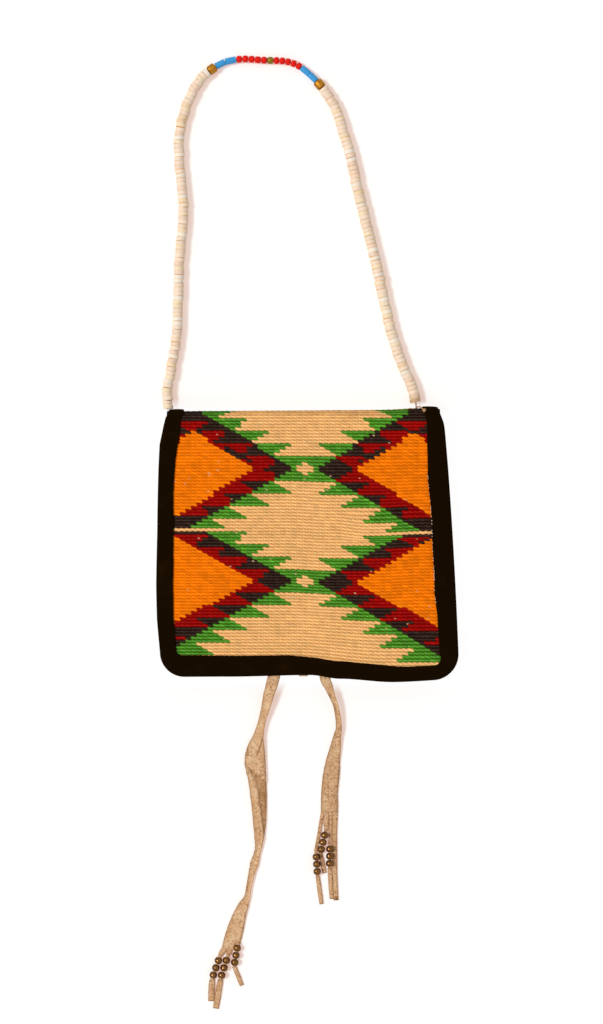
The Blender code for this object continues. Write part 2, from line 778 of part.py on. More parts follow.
def thong(name, places, strands, finish, group):
    """Build a thong as one cut strip: a flat run that ends in three strands."""
    bm = bmesh.new()
    sections = thong_sections(places)
    rings = [[bm.verts.new(point) for point in section] for section in sections[:-1]]
    for first, second in zip(rings, rings[1:]):
        for i in range(4):
            j = (i + 1) % 4
            bm.faces.new((first[i], first[j], second[j], second[i]))
    bm.faces.new(rings[0])
    corners = sections[-1]
    lanes = len(strands)
    low = [bm.verts.new(corners[0].lerp(corners[1], k / lanes)) for k in range(lanes + 1)]
    high = [bm.verts.new(corners[3].lerp(corners[2], k / lanes)) for k in range(lanes + 1)]
    last = rings[-1]
    bm.faces.new((last[0], last[1], *reversed(low)))
    bm.faces.new((last[3], last[2], *reversed(high)))
    bm.faces.new((last[0], last[3], high[0], low[0]))
    bm.faces.new((last[1], last[2], high[-1], low[-1]))
    for k, strand in enumerate(reversed(strands)):
        ring = [low[k], low[k + 1], high[k + 1], high[k]]
        for section in strand_sections(strand):
            following = [bm.verts.new(point) for point in section]
            for i in range(4):
                j = (i + 1) % 4
                bm.faces.new((ring[i], ring[j], following[j], following[i]))
            ring = following
        bm.faces.new(ring)
    return mesh_object(name, bm, finish, group)


def from_edge(place):
    """Turn a place over the flap's lower edge into a place in the bag's frame."""
    x, over_edge, *rest = place
    return (x, LOWER_EDGE_Y + over_edge, *rest)


def strand_sections(strand):
    """Return a strand's sections: drawn in through its beads, flat again below them."""
    first, last, tip = (Vector((*from_edge(place), 0.0)) for place in strand)
    line = (last - first).normalized()
    tail = (tip - last).normalized()
    entry = first - line * (TIE_BEAD_LENGTH / 2 + GAP)
    leave = last + line * (TIE_BEAD_LENGTH / 2 + GAP)
    waist_low = TABLE_GAP + TIE_BEAD_RADIUS - STRAND_THICKNESS / 2
    spread = leave + tail * (2 * TIE_BEAD_RADIUS)
    return [
        strip_section(entry, line, STRAND_WAIST, STRAND_THICKNESS, waist_low),
        strip_section(leave, line, STRAND_WAIST, STRAND_THICKNESS, waist_low),
        strip_section(spread, tail, STRAND_WIDTH, STRAND_THICKNESS, TABLE_GAP),
        strip_section(tip, tail, STRAND_WIDTH, STRAND_THICKNESS, TABLE_GAP),
    ]


def tie_beads(prefix, strands, finish, group):
    """Thread three metal beads on each strand."""
    for k, (first, last, _) in enumerate(strands, start=1):
        start = Vector((*from_edge(first), TABLE_GAP + TIE_BEAD_RADIUS))
        stop = Vector((*from_edge(last), TABLE_GAP + TIE_BEAD_RADIUS))
        for i in range(BEADS_ON_A_STRAND):
            centre = start.lerp(stop, i / (BEADS_ON_A_STRAND - 1))
            turned_bead(
                f"{prefix}_bead_{k}_{i + 1}", centre, stop - start, TIE_BEAD_RADIUS,
                TIE_BEAD_LENGTH, BEAD_BORE_RADIUS, SMALL_BEAD_SIDES, finish, group,
            )


def tie_tab(finish, group):
    """Build the short hide end that peeks out under the flap's edge."""
    top, tip = (Vector((*from_edge(place), 0.0)) for place in (TAB_TOP, TAB_TIP))
    bm = bmesh.new()
    sections = []
    for i in range(TAB_STEPS + 1):
        centre = top.lerp(tip, i / TAB_STEPS)
        low = thong_height(centre.y)
        sections.append(strip_section(centre, tip - top, TAB_WIDTH, HIDE_THICKNESS, low))
    loft(bm, sections)
    return mesh_object("tie_tab", bm, finish, group)


def build():
    """Build every piece of the handbag."""
    clear_scene()
    group = collection("corn_husk_handbag")
    weave = material("twined_weave", (0.85, 0.56, 0.28), 0.85)
    velvet = material("velvet", (0.012, 0.007, 0.003), 0.95)
    hide = material("hide", (0.70, 0.46, 0.25), 0.8)
    bronze = material("bronze", (0.10, 0.05, 0.02), 0.3, 0.9)
    finishes = {
        "shell": material("shell", (0.86, 0.74, 0.60), 0.5),
        "cord": material("cord", (0.62, 0.42, 0.22), 0.9),
        "brass": material("brass", (0.45, 0.24, 0.04), 0.35, 0.9),
        "blue": material("blue_glass", (0.08, 0.33, 0.72), 0.15),
        "red": material("red_glass", (0.72, 0.02, 0.01), 0.15),
        "centre": material("olive_brass", (0.28, 0.18, 0.03), 0.35, 0.9),
    }
    woven_panel(weave, group)
    pocket_front(weave.copy(), group)
    flap_binding(velvet, group)
    pouch_binding(velvet.copy(), group)
    strap(finishes, group)
    for name, top, run, strands in (
        ("tie_thong_long", LONG_THONG_TOP, LONG_THONG, LONG_STRANDS),
        ("tie_thong_short", SHORT_THONG_TOP, SHORT_THONG, SHORT_STRANDS),
    ):
        places = [from_edge(place) for place in top + run]
        covered = len(top) + VISIBLE_LEDGE_PLACES
        places = closer_places(places[:covered], HIDDEN_STEP) + places[covered:]
        thong(name, places, strands, hide, group)
    tie_tab(hide, group)
    tie_beads("long", LONG_STRANDS, bronze, group)
    tie_beads("short", SHORT_STRANDS, bronze, group)


build()
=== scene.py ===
"""Dressed model of a twined corn husk handbag, lying on its back on a pale table.

The twined sheet, the pouch, both velvet bindings, the shell strap and the hide tie are each a
class that holds its sizes, builds its meshes and dresses them. Units are metres.
"""

import logging
import math
from dataclasses import dataclass, field
from enum import Enum
from random import Random
from typing import Any, Callable, Dict, List, Optional, Sequence, Tuple, Union
import bmesh
import bpy
import numpy as np
from mathutils import Matrix, Vector, noise


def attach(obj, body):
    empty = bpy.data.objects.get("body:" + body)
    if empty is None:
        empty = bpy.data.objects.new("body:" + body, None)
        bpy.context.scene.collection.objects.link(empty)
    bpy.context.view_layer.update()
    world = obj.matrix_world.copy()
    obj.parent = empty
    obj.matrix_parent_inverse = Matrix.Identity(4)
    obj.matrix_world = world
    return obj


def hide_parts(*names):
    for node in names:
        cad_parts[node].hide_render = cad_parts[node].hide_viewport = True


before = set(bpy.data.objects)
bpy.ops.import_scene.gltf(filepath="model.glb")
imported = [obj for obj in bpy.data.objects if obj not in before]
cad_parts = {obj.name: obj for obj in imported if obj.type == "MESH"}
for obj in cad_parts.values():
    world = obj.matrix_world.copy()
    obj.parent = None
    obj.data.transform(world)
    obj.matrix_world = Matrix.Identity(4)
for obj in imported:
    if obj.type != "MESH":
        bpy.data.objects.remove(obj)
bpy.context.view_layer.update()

LOG = logging.getLogger("handbag")

Color = Tuple[float, float, float]
Place = Tuple[float, ...]
Number = Union[float, "Wire"]
Table = Tuple[Tuple[float, ...], Tuple[float, ...]]


def tone(red: int, green: int, blue: int) -> Color:
    """Turn a screen colour of 0 to 255 into linear light.

    Args:
        red: Red on the screen.
        green: Green on the screen.
        blue: Blue on the screen.

    Returns:
        The colour in linear light.
    """
    def linear(value: float) -> float:
        """Undo the screen's curve for one channel."""
        share = value / 255
        return share / 12.92 if share <= 0.04045 else ((share + 0.055) / 1.055) ** 2.4

    return linear(red), linear(green), linear(blue)


def smooth(value: Any) -> Any:
    """Ease a share from 0 to 1, for a number or an array."""
    share = np.clip(value, 0.0, 1.0)
    return share * share * (3 - 2 * share)


def mix(first: Any, second: Any, share: Any) -> Any:
    """Blend two values."""
    return first + (second - first) * share


def ramp(value: Any, start: float, reach: float) -> Any:
    """Ease from 0 at a start to 1 at a distance past it."""
    return smooth((value - start) / reach)


def declare(item: bpy.types.Object, slot: str, *nodes: str) -> None:
    """Let a piece ride on the body, and hide the CAD nodes that it stands for.

    Args:
        item: The piece.
        slot: Its material slot; not used.
        nodes: The CAD nodes that it stands for.
    """
    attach(item, "root")
    if nodes:
        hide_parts(*nodes)


# Shaders


class Wire:
    """A number in a node tree. Arithmetic on it adds the Math nodes."""

    def __init__(self, net: "Net", socket: bpy.types.NodeSocket) -> None:
        """Wrap an output socket."""
        self.net = net
        self.socket = socket

    def __add__(self, other: Number) -> "Wire":
        """Add."""
        return self.net.math("ADD", self, other)

    __radd__ = __add__

    def __sub__(self, other: Number) -> "Wire":
        """Take away."""
        return self.net.math("SUBTRACT", self, other)

    def __rsub__(self, other: Number) -> "Wire":
        """Take this away from a number."""
        return self.net.math("SUBTRACT", other, self)

    def __mul__(self, other: Number) -> "Wire":
        """Multiply."""
        return self.net.math("MULTIPLY", self, other)

    __rmul__ = __mul__

    def __truediv__(self, other: Number) -> "Wire":
        """Divide."""
        return self.net.math("DIVIDE", self, other)

    def fraction(self) -> "Wire":
        """Return what is left after the whole numbers."""
        return self.net.math("FRACT", self)

    def near_whole(self) -> "Wire":
        """Return the distance to the nearest whole number."""
        return self.net.math("PINGPONG", self, 0.5)

    def near_zero(self, reach: float, full: float = 0.0) -> "Wire":
        """Return 1 up to a distance from zero, fading to 0 at a farther one, on both sides."""
        return 1.0 - self.net.math("ABSOLUTE", self).rise(full, reach)

    def rise(self, low: float, high: float) -> "Wire":
        """Ease from 0 at a low value to 1 at a high one.

        Args:
            low: Where the rise starts.
            high: Where it ends.

        Returns:
            The eased share.
        """
        node = self.net.node(
            "ShaderNodeMapRange", {"interpolation_type": "SMOOTHSTEP"},
            {0: self, 1: low, 2: high, 3: 0.0, 4: 1.0},
        )
        return Wire(self.net, node.outputs[0])


class Net:
    """The node tree of a material or a world, with short ways to add to it."""

    def __init__(self, owner: Union[bpy.types.Material, bpy.types.World]) -> None:
        """Turn on the owner's nodes, and find its Principled shader if it has one.

        Args:
            owner: The material or the world.
        """
        owner.use_nodes = True
        self.owner = owner
        self.nodes = owner.node_tree.nodes
        self.links = owner.node_tree.links
        self.shader = self.nodes.get("Principled BSDF")

    @classmethod
    def surface(cls, name: str) -> "Net":
        """Start a material with a Principled shader."""
        return cls(bpy.data.materials.new(name))

    def node(
        self, kind: str, settings: Optional[Dict[str, Any]] = None,
        inputs: Optional[Dict[Any, Any]] = None,
    ) -> bpy.types.Node:
        """Add any node.

        Args:
            kind: The node's type.
            settings: Its settings, which are set first.
            inputs: A value or a link for each named or numbered socket.

        Returns:
            The new node.
        """
        node = self.nodes.new(kind)
        for key, value in (settings or {}).items():
            setattr(node, key, value)
        for key, value in (inputs or {}).items():
            self.feed(node.inputs[key], value)
        return node

    def feed(self, socket: bpy.types.NodeSocket, value: Any) -> None:
        """Set a socket to a number or a vector, or link it to a wire or an output.

        Args:
            socket: The socket.
            value: What it gets.
        """
        source = value.socket if isinstance(value, Wire) else value
        if isinstance(source, bpy.types.NodeSocket):
            self.links.new(source, socket)
        else:
            socket.default_value = source

    def math(self, operation: str, *values: Number) -> Wire:
        """Add a Math node and return its result."""
        node = self.node("ShaderNodeMath", {"operation": operation}, dict(enumerate(values)))
        return Wire(self, node.outputs[0])

    def blend(self, share: Number, first: Any, second: Any, way: str = "MIX") -> Any:
        """Mix two colours.

        Args:
            share: How much of the second.
            first: A colour or its socket.
            second: A colour or its socket.
            way: How they mix.

        Returns:
            The mixed colour's socket.
        """
        colors = [(*c, 1.0) if isinstance(c, tuple) else c for c in (first, second)]
        node = self.node(
            "ShaderNodeMix", {"data_type": "RGBA", "blend_type": way, "clamp_factor": True},
            {0: share, 6: colors[0], 7: colors[1]},
        )
        return node.outputs[2]

    def grey(self, value: Number) -> bpy.types.NodeSocket:
        """Return a colour with one value for red, green and blue."""
        return self.node("ShaderNodeCombineXYZ", {}, dict.fromkeys(range(3), value)).outputs[0]

    def place(self) -> bpy.types.NodeSocket:
        """Return the point's place on the object."""
        return self.node("ShaderNodeTexCoord").outputs["Object"]

    def uv(self, name: str) -> bpy.types.NodeSocket:
        """Return the point's place on a named map."""
        return self.node("ShaderNodeUVMap", {"uv_map": name}).outputs[0]

    def attribute(self, name: str) -> bpy.types.Node:
        """Return the node that reads a named attribute."""
        return self.node("ShaderNodeAttribute", {"attribute_name": name})

    def scaled(self, vector: Any, scale: Place, turn: float = 0.0) -> Any:
        """Stretch a pattern's coordinates along each axis, and turn them about Z in radians."""
        inputs = {"Vector": vector, "Scale": scale, "Rotation": (0, 0, turn)}
        return self.node("ShaderNodeMapping", {}, inputs).outputs[0]

    def noise(self, vector: Any, scale: float, detail: float = 2.0) -> Wire:
        """Return soft noise between 0 and 1, with a number of lumps to a unit."""
        inputs = {"Vector": vector, "Scale": scale, "Detail": detail, "Roughness": 0.6}
        return Wire(self, self.node("ShaderNodeTexNoise", {}, inputs).outputs[0])

    def split(self, vector: Any) -> List[Wire]:
        """Return the parts of a vector."""
        node = self.node("ShaderNodeSeparateXYZ", {}, {0: vector})
        return [Wire(self, socket) for socket in node.outputs]

    def bump(self, height: Wire, strength: float, distance: float) -> None:
        """Roughen the shader's surface by a relief.

        Args:
            height: The relief, from 0 to 1.
            strength: How strongly it shows.
            distance: Its depth in metres.
        """
        inputs = {"Height": height, "Strength": strength, "Distance": distance}
        relief = self.node("ShaderNodeBump", {}, inputs)
        self.feed(self.shader.inputs["Normal"], relief.outputs[0])

    def dress(self, **sockets: Any) -> bpy.types.Material:
        """Set the shader's sockets.

        Args:
            sockets: A value or a link for each socket's name, with _ for a space.

        Returns:
            The material.
        """
        for key, value in sockets.items():
            socket = self.shader.inputs[key.replace("_", " ").title().replace("Ior", "IOR")]
            self.feed(socket, (*value, 1.0) if isinstance(value, tuple) else value)
        return self.owner


@dataclass(frozen=True)
class TwiningFinish:
    """Husk and wool twined in rows, coloured stitch by stitch."""

    name: str = "twined_husk"
    groove: float = 0.2
    fibre: float = 0.24
    # painted shade: the colour that darkens the grooves between rows and stitches
    groove_shade: Color = tone(206, 122, 60)
    fibre_stretch: Place = (2.2, 9.0, 1.0)
    light_stretch: Place = (1.7, 1.3, 1.0)
    groove_shade_stretch: Place = (0.9, 0.9, 1.0)
    rows_per_lean: float = 3.0
    dash_slant: float = 1.3
    crown_light: float = 0.34

    def material(self) -> bpy.types.Material:
        """Colour the yarn and its fibres, with painted shade in the grooves between stitches and
        painted highlights on their crowns.

        Returns:
            The material.
        """
        net = Net.surface(self.name)
        place = net.uv("weave")
        across, down, _ = net.split(place)
        yarn = net.attribute("yarn")
        # the yarn's alpha says how strongly the painted highlights show
        highlight_share = Wire(net, yarn.outputs["Alpha"])
        fibres = net.noise(net.scaled(place, self.fibre_stretch), 1.4, 3.0)
        patches = net.noise(net.place(), 55.0, 2.0)
        from_middle = down.fraction() - 0.5
        at_edge = 1.0 - down.near_whole().rise(0.0, self.groove)
        lean = from_middle / self.rows_per_lean
        over = (down + 0.5).fraction() - 0.5
        at_dash = 1.0 - (across - over * self.dash_slant).near_whole().rise(0.10, 0.32)
        at_end = 1.0 - (across + 0.5 - lean).near_whole().rise(0.0, 0.18)
        # painted highlight: a light patch on each stitch's crown, brighter on some stitches
        bright = net.noise(net.scaled(place, self.light_stretch), 1.0).rise(0.36, 0.62)
        crown = (from_middle + lean * 0.6).near_zero(0.32) * (
            0.4 + (1.0 - (across - lean * 1.5).near_whole().rise(0.1, 0.4)) * bright * 0.8
        )
        # uneven strength for the painted groove shade
        uneven = net.noise(net.scaled(place, self.groove_shade_stretch), 1.0).rise(0.3, 0.62)
        # painted shade in the grooves between rows, in dashes under each stitch, and at the
        # stitches' ends
        groove_shade_mask = at_edge * (0.16 + 0.84 * at_dash) * (0.6 + uneven * 0.4) + at_end * 0.14
        # painted highlight: a lighter streak along each row's ridge
        ridge_highlight = from_middle.near_zero(0.34) * fibres.rise(0.42, 0.6)
        shade = 1.0 - self.fibre + (fibres * 0.9 + patches * 0.7) * self.fibre * 1.25
        shade = (shade + ridge_highlight * highlight_share * 1.1) * (0.9 + crown * self.crown_light)
        lit = net.blend(1.0, yarn.outputs["Color"], net.grey(shade), "MULTIPLY")
        # painted highlight: the crowns whitened a little
        lit = net.blend(1.0, lit, net.grey(crown * (0.006 + highlight_share * 0.05)), "ADD")
        # lay the painted groove shade over the lit yarn
        groove = net.blend(1.0, lit, self.groove_shade, "MULTIPLY")
        color = net.blend(groove_shade_mask, lit, groove)
        net.bump(fibres * 0.5 - groove_shade_mask * 0.5, 0.35, 0.0003)
        return net.dress(base_color=color, roughness=0.9, specular_ior_level=0.015)


@dataclass(frozen=True)
class PlainTwiningFinish:
    """Plain husk twining without a pattern."""

    name: str = "plain_husk"
    stitch: float = 0.00417
    row: float = 0.00236
    color: Color = tone(238, 188, 132)
    lit: Color = tone(250, 206, 156)
    # painted shade: the colour of the grooves between rows and stitches
    groove: Color = tone(190, 132, 80)
    fibre_scale: Place = (300.0, 2600.0, 300.0)

    def material(self) -> bpy.types.Material:
        """Draw slanting stitches in rows, with painted shade in the grooves between them.

        Returns:
            The material.
        """
        net = Net.surface(self.name)
        x, y, _ = net.split(net.place())
        down = y / self.row
        across = x / self.stitch - down
        fibres = net.noise(net.scaled(net.place(), self.fibre_scale), 1.0)
        # 1 on the stitches, falling to 0 in the painted groove shade
        open_face = down.near_whole().rise(0.02, 0.2) * (
            0.4 + 0.6 * across.near_whole().rise(0.0, 0.14)
        )
        light = net.blend(fibres, self.color, self.lit)
        color = net.blend(open_face, self.groove, light)
        net.bump(open_face + fibres * 0.3, 0.8, 0.0005)
        return net.dress(base_color=color, roughness=0.9, specular_ior_level=0.02)


@dataclass(frozen=True)
class VelvetFinish:
    """Near-black brown velvet, brushed in places."""

    name: str = "velvet"
    dark: Color = tone(23, 12, 1)
    brushed: Color = tone(42, 24, 5)
    sheen: Color = tone(110, 70, 20)

    def material(self) -> bpy.types.Material:
        """Make short pile with brushed patches.

        Returns:
            The material.
        """
        net = Net.surface(self.name)
        place = net.place()
        patches = net.noise(place, 45.0, 3.0).rise(0.52, 0.8)
        pile = net.noise(place, 2600.0, 1.0)
        color = net.blend(patches * (0.35 + pile * 0.6), self.dark, self.brushed)
        net.bump(pile + net.noise(place, 700.0, 2.0), 0.5, 0.0003)
        return net.dress(
            base_color=color, roughness=0.95, specular_ior_level=0.015, sheen_weight=0.05,
            sheen_roughness=0.5, sheen_tint=self.sheen,
        )


@dataclass(frozen=True)
class ShellFinish:
    """Rubbed shell, each disc with its own tint."""

    name: str = "shell"
    cloud: Color = tone(255, 246, 232)
    pit: Color = tone(220, 180, 136)

    def material(self) -> bpy.types.Material:
        """Make tinted shell with faint growth lines.

        Returns:
            The material.
        """
        net = Net.surface(self.name)
        tint = net.attribute("tint").outputs["Color"]
        clouds = net.noise(net.place(), 420.0, 3.0)
        pits = net.noise(net.place(), 1900.0, 2.0)
        color = net.blend(clouds.rise(0.4, 0.75) * 0.3, tint, self.cloud)
        color = net.blend(pits.rise(0.64, 0.8) * 0.25, color, self.pit)
        net.bump(pits, 0.15, 0.0002)
        return net.dress(base_color=color, roughness=0.5, specular_ior_level=0.25)


@dataclass(frozen=True)
class SinewFinish:
    """Twisted sinew cord or sewing thread."""

    name: str = "sinew"
    shaded: Color = tone(150, 104, 62)
    lit: Color = tone(222, 176, 124)

    def material(self) -> bpy.types.Material:
        """Make slanting plies with fibres, with painted shade between the plies and painted
        light on them.

        Returns:
            The material.
        """
        net = Net.surface(self.name)
        x, y, z = net.split(net.place())
        # painted light on the plies and painted shade between them
        plies = ((x + z) * 900.0 + y * 620.0).near_whole().rise(0.05, 0.4)
        fibres = net.noise(net.place(), 3000.0, 2.0)
        color = net.blend(plies * 0.7 + fibres * 0.3, self.shaded, self.lit)
        net.bump(plies + fibres * 0.3, 0.6, 0.0002)
        return net.dress(base_color=color, roughness=0.7)


@dataclass(frozen=True)
class MetalFinish:
    """An aged metal, tarnished in patches."""

    name: str
    bright: Color
    tarnish: Color
    roughness: float
    tarnished: float = 0.5
    rim: Color = (1.0, 1.0, 1.0)
    polish: float = 0.0
    polish_roughness: float = 0.16

    def material(self) -> bpy.types.Material:
        """Make bright metal with duller, darker patches.

        Returns:
            The material.
        """
        net = Net.surface(self.name)
        patches = net.noise(net.place(), 900.0, 3.0).rise(0.62 - self.tarnished * 0.3, 0.75)
        scuffs = net.noise(net.scaled(net.place(), (1.0, 1.0, 3.0)), 5200.0, 2.0)
        color = net.blend(patches, self.bright, self.tarnish)
        rough = self.roughness + (patches * 0.6 + scuffs * 0.22) * self.roughness
        net.bump(scuffs + patches * 0.5, 0.12, 0.0001)
        return net.dress(
            base_color=color, roughness=rough, metallic=1.0, specular_tint=self.rim,
            coat_weight=self.polish, coat_roughness=self.polish_roughness,
        )


@dataclass(frozen=True)
class GlassFinish:
    """Opaque glass with slight streaks."""

    name: str
    color: Color
    streak: Color

    def material(self) -> bpy.types.Material:
        """Make glossy glass with fine streaks and a worn skin.

        Returns:
            The material.
        """
        net = Net.surface(self.name)
        streaks = net.noise(net.scaled(net.place(), (2.4, 0.7, 0.7)), 700.0, 3.0)
        wear = net.noise(net.place(), 2400.0, 2.0)
        color = net.blend(streaks.rise(0.45, 0.8) * 0.6, self.color, self.streak)
        net.bump(wear, 0.06, 0.0001)
        return net.dress(
            base_color=color, roughness=0.2 + wear * 0.14, specular_ior_level=0.14,
        )


@dataclass(frozen=True)
class HideFinish:
    """Tanned hide: a fine grain, speckles, and a rough side that is darker."""

    name: str = "hide"
    smooth_side: Color = tone(226, 180, 136)
    light: Color = tone(244, 206, 164)
    rough_side: Color = tone(186, 140, 98)
    speckle: Color = tone(146, 96, 52)
    # dark edges, and painted shade along the long thong's crease and its fold's rim
    dark_edge_and_crease_shade: Color = tone(136, 90, 48)

    def material(self) -> bpy.types.Material:
        """Make hide, with the rough side read from the mesh, dark edges, and painted shade along
        the fold's crease and rim and in the wrinkles.

        Returns:
            The material.
        """
        net = Net.surface(self.name)
        place = net.place()
        marks = net.attribute("hide_marks")
        rough, edge, wrinkled = net.split(marks.outputs["Vector"])
        clouds = net.noise(place, 130.0, 3.0)
        grain = net.noise(place, 1500.0, 2.0)
        dots = net.noise(place, 640.0, 3.0)
        folds = net.noise(net.scaled(place, (1.0, 2.6, 1.0), 0.5), 330.0, 2.0)
        # painted shade in the wrinkles: dark lines where the fold noise crosses its middle
        lines = (folds - 0.5).near_zero(0.035) * wrinkled
        base = net.blend(clouds.rise(0.35, 0.7), self.smooth_side, self.light)
        base = net.blend(rough, base, self.rough_side)
        patchy = net.noise(place, 60.0, 2.0).rise(0.3, 0.6)
        speckled = dots.rise(0.5, 0.61) * (0.26 + patchy * 0.4 + rough * 0.35)
        base = net.blend(speckled, base, self.speckle)
        base = net.blend(lines * 0.45, base, self.speckle)
        # dark edges, with painted shade along the crease and the fold's rim
        color = net.blend(edge * 0.75, base, self.dark_edge_and_crease_shade)
        net.bump(grain + dots * (0.6 + rough) - lines, 0.45, 0.0003)
        return net.dress(base_color=color, roughness=0.9, specular_ior_level=0.05)


@dataclass(frozen=True)
class Finishes:
    """Every finish of the handbag, made once."""

    twining: bpy.types.Material
    plain: bpy.types.Material
    velvet: bpy.types.Material
    shell: bpy.types.Material
    sinew: bpy.types.Material
    thread: bpy.types.Material
    brass: bpy.types.Material
    olive: bpy.types.Material
    bronze: bpy.types.Material
    blue: bpy.types.Material
    red: bpy.types.Material
    hide: bpy.types.Material

    @classmethod
    def make(cls) -> "Finishes":
        """Make all materials.

        Returns:
            The materials by name.
        """
        return cls(
            twining=TwiningFinish().material(),
            plain=PlainTwiningFinish().material(),
            velvet=VelvetFinish().material(),
            shell=ShellFinish().material(),
            sinew=SinewFinish().material(),
            thread=SinewFinish(
                "sewing_thread", tone(214, 160, 128), tone(255, 226, 204)).material(),
            brass=MetalFinish(
                "aged_brass", tone(176, 120, 38), tone(96, 58, 10), 0.36).material(),
            olive=MetalFinish(
                "olive_brass", tone(140, 116, 40), tone(70, 54, 12), 0.34).material(),
            bronze=MetalFinish(
                "dark_bronze", tone(120, 82, 40), tone(36, 20, 6), 0.16, 0.6, tone(90, 64, 30),
                0.16).material(),
            blue=GlassFinish("blue_glass", tone(62, 160, 226), tone(104, 186, 236)).material(),
            red=GlassFinish("red_glass", tone(236, 18, 6), tone(244, 60, 30)).material(),
            hide=HideFinish().material(),
        )


# Meshes


def mesh_piece(
    name: str, points: Sequence[Sequence[float]], faces: Sequence[Sequence[int]],
    finish: bpy.types.Material,
) -> bpy.types.Object:
    """Make a smooth object at the origin.

    Args:
        name: The piece's name.
        points: Its vertices.
        faces: Its faces, as vertex numbers.
        finish: Its material.

    Returns:
        The object.
    """
    mesh = bpy.data.meshes.new(name)
    mesh.from_pydata([tuple(map(float, point)) for point in points], [], faces)
    mesh.materials.append(finish)
    mesh.polygons.foreach_set("use_smooth", [True] * len(mesh.polygons))
    mesh.update()
    item = bpy.data.objects.new(name, mesh)
    bpy.context.scene.collection.objects.link(item)
    return item


def paint(
    item: bpy.types.Object, name: str, colors: Sequence[Sequence[float]], domain: str
) -> None:
    """Store a colour, with or without a fourth value, for each point or corner.

    Args:
        item: The object.
        name: The attribute's name.
        colors: One colour for each element.
        domain: POINT or CORNER.
    """
    layer = item.data.attributes.new(name, "FLOAT_COLOR", domain)
    values = np.ones((len(colors), 4))
    values[:, :len(colors[0])] = np.asarray(colors)
    layer.data.foreach_set("color", values.ravel())


def swept(rings: Sequence[Sequence[Vector]]) -> Tuple[list, list]:
    """Join closed rings of equal counts, in order, into a skin with closed ends.

    Args:
        rings: The rings in order.

    Returns:
        The vertices and the faces.
    """
    count = len(rings[0])
    points = [point for ring in rings for point in ring]
    faces: List[Tuple[int, ...]] = []
    for start in range(0, (len(rings) - 1) * count, count):
        for j in range(count):
            k = (j + 1) % count
            faces.append((start + j, start + k, start + count + k, start + count + j))
    faces.append(tuple(reversed(range(count))))
    faces.append(tuple(range((len(rings) - 1) * count, len(rings) * count)))
    return points, faces


def outward(item: bpy.types.Object) -> None:
    """Merge doubles and point every face outwards.

    Args:
        item: The piece.
    """
    bm = bmesh.new()
    bm.from_mesh(item.data)
    bmesh.ops.remove_doubles(bm, verts=bm.verts, dist=1e-6)
    bmesh.ops.recalc_face_normals(bm, faces=bm.faces)
    bm.to_mesh(item.data)
    bm.free()


def choose(*items: bpy.types.Object) -> None:
    """Select these objects alone.

    Args:
        items: The objects, of which the first becomes the active one.
    """
    for item in bpy.context.selected_objects:
        item.select_set(False)
    for item in items:
        item.select_set(True)
        bpy.context.view_layer.objects.active = items[0]


def smooth_curve(points: Sequence[Place], steps: int) -> List[Vector]:
    """Run a smooth curve through points.

    Args:
        points: Points of two or more numbers.
        steps: How many stretches between two of them.

    Returns:
        Closely spaced points.
    """
    route = [np.array(point, dtype=float) for point in points]
    ends = [2 * route[0] - route[1], *route, 2 * route[-1] - route[-2]]
    curve = []
    for before, first, second, after in zip(ends, ends[1:], ends[2:], ends[3:]):
        for i in range(steps):
            t = i / steps
            curve.append(0.5 * (
                2 * first + (second - before) * t
                + (2 * before - 5 * first + 4 * second - after) * t ** 2
                + (3 * first - before - 3 * second + after) * t ** 3
            ))
    curve.append(route[-1])
    return curve


class Route:
    """A curve that can be read at a distance along it."""

    def __init__(self, points: Sequence[Sequence[float]]) -> None:
        """Keep the points and the distance to each.

        Args:
            points: The curve's points in order.
        """
        self.points = [Vector(point) for point in points]
        self.marks = [0.0]
        for first, second in zip(self.points, self.points[1:]):
            self.marks.append(self.marks[-1] + (second - first).length)
        self.length = self.marks[-1]

    def at(self, distance: float) -> Vector:
        """Find the point at a distance from the start.

        Args:
            distance: The distance, which is held to the curve's length.

        Returns:
            The point.
        """
        inside = min(max(distance, 0.0), self.length)
        index = int(np.searchsorted(self.marks, inside - 1e-12))
        index = min(max(index, 1), len(self.marks) - 1)
        low, high = self.marks[index - 1], self.marks[index]
        share = (inside - low) / (high - low)
        return self.points[index - 1].lerp(self.points[index], share)

    def heading(self, distance: float, reach: float = 0.002) -> Vector:
        """Return the direction at a distance from the start."""
        return (self.at(distance + reach) - self.at(distance - reach)).normalized()


# The bag's shape


@dataclass(frozen=True)
class SideLine:
    """One side of the flap: a line, its swell, and how far it departs from both."""

    top: float
    bottom: float
    swell: float
    moves: Table

    def at(self, share: Any) -> Any:
        """Return the side's x at a share of the flap's length."""
        line = mix(self.top, self.bottom, share) + self.swell * (4 * share * (1 - share))
        return line + np.interp(share, *self.moves)


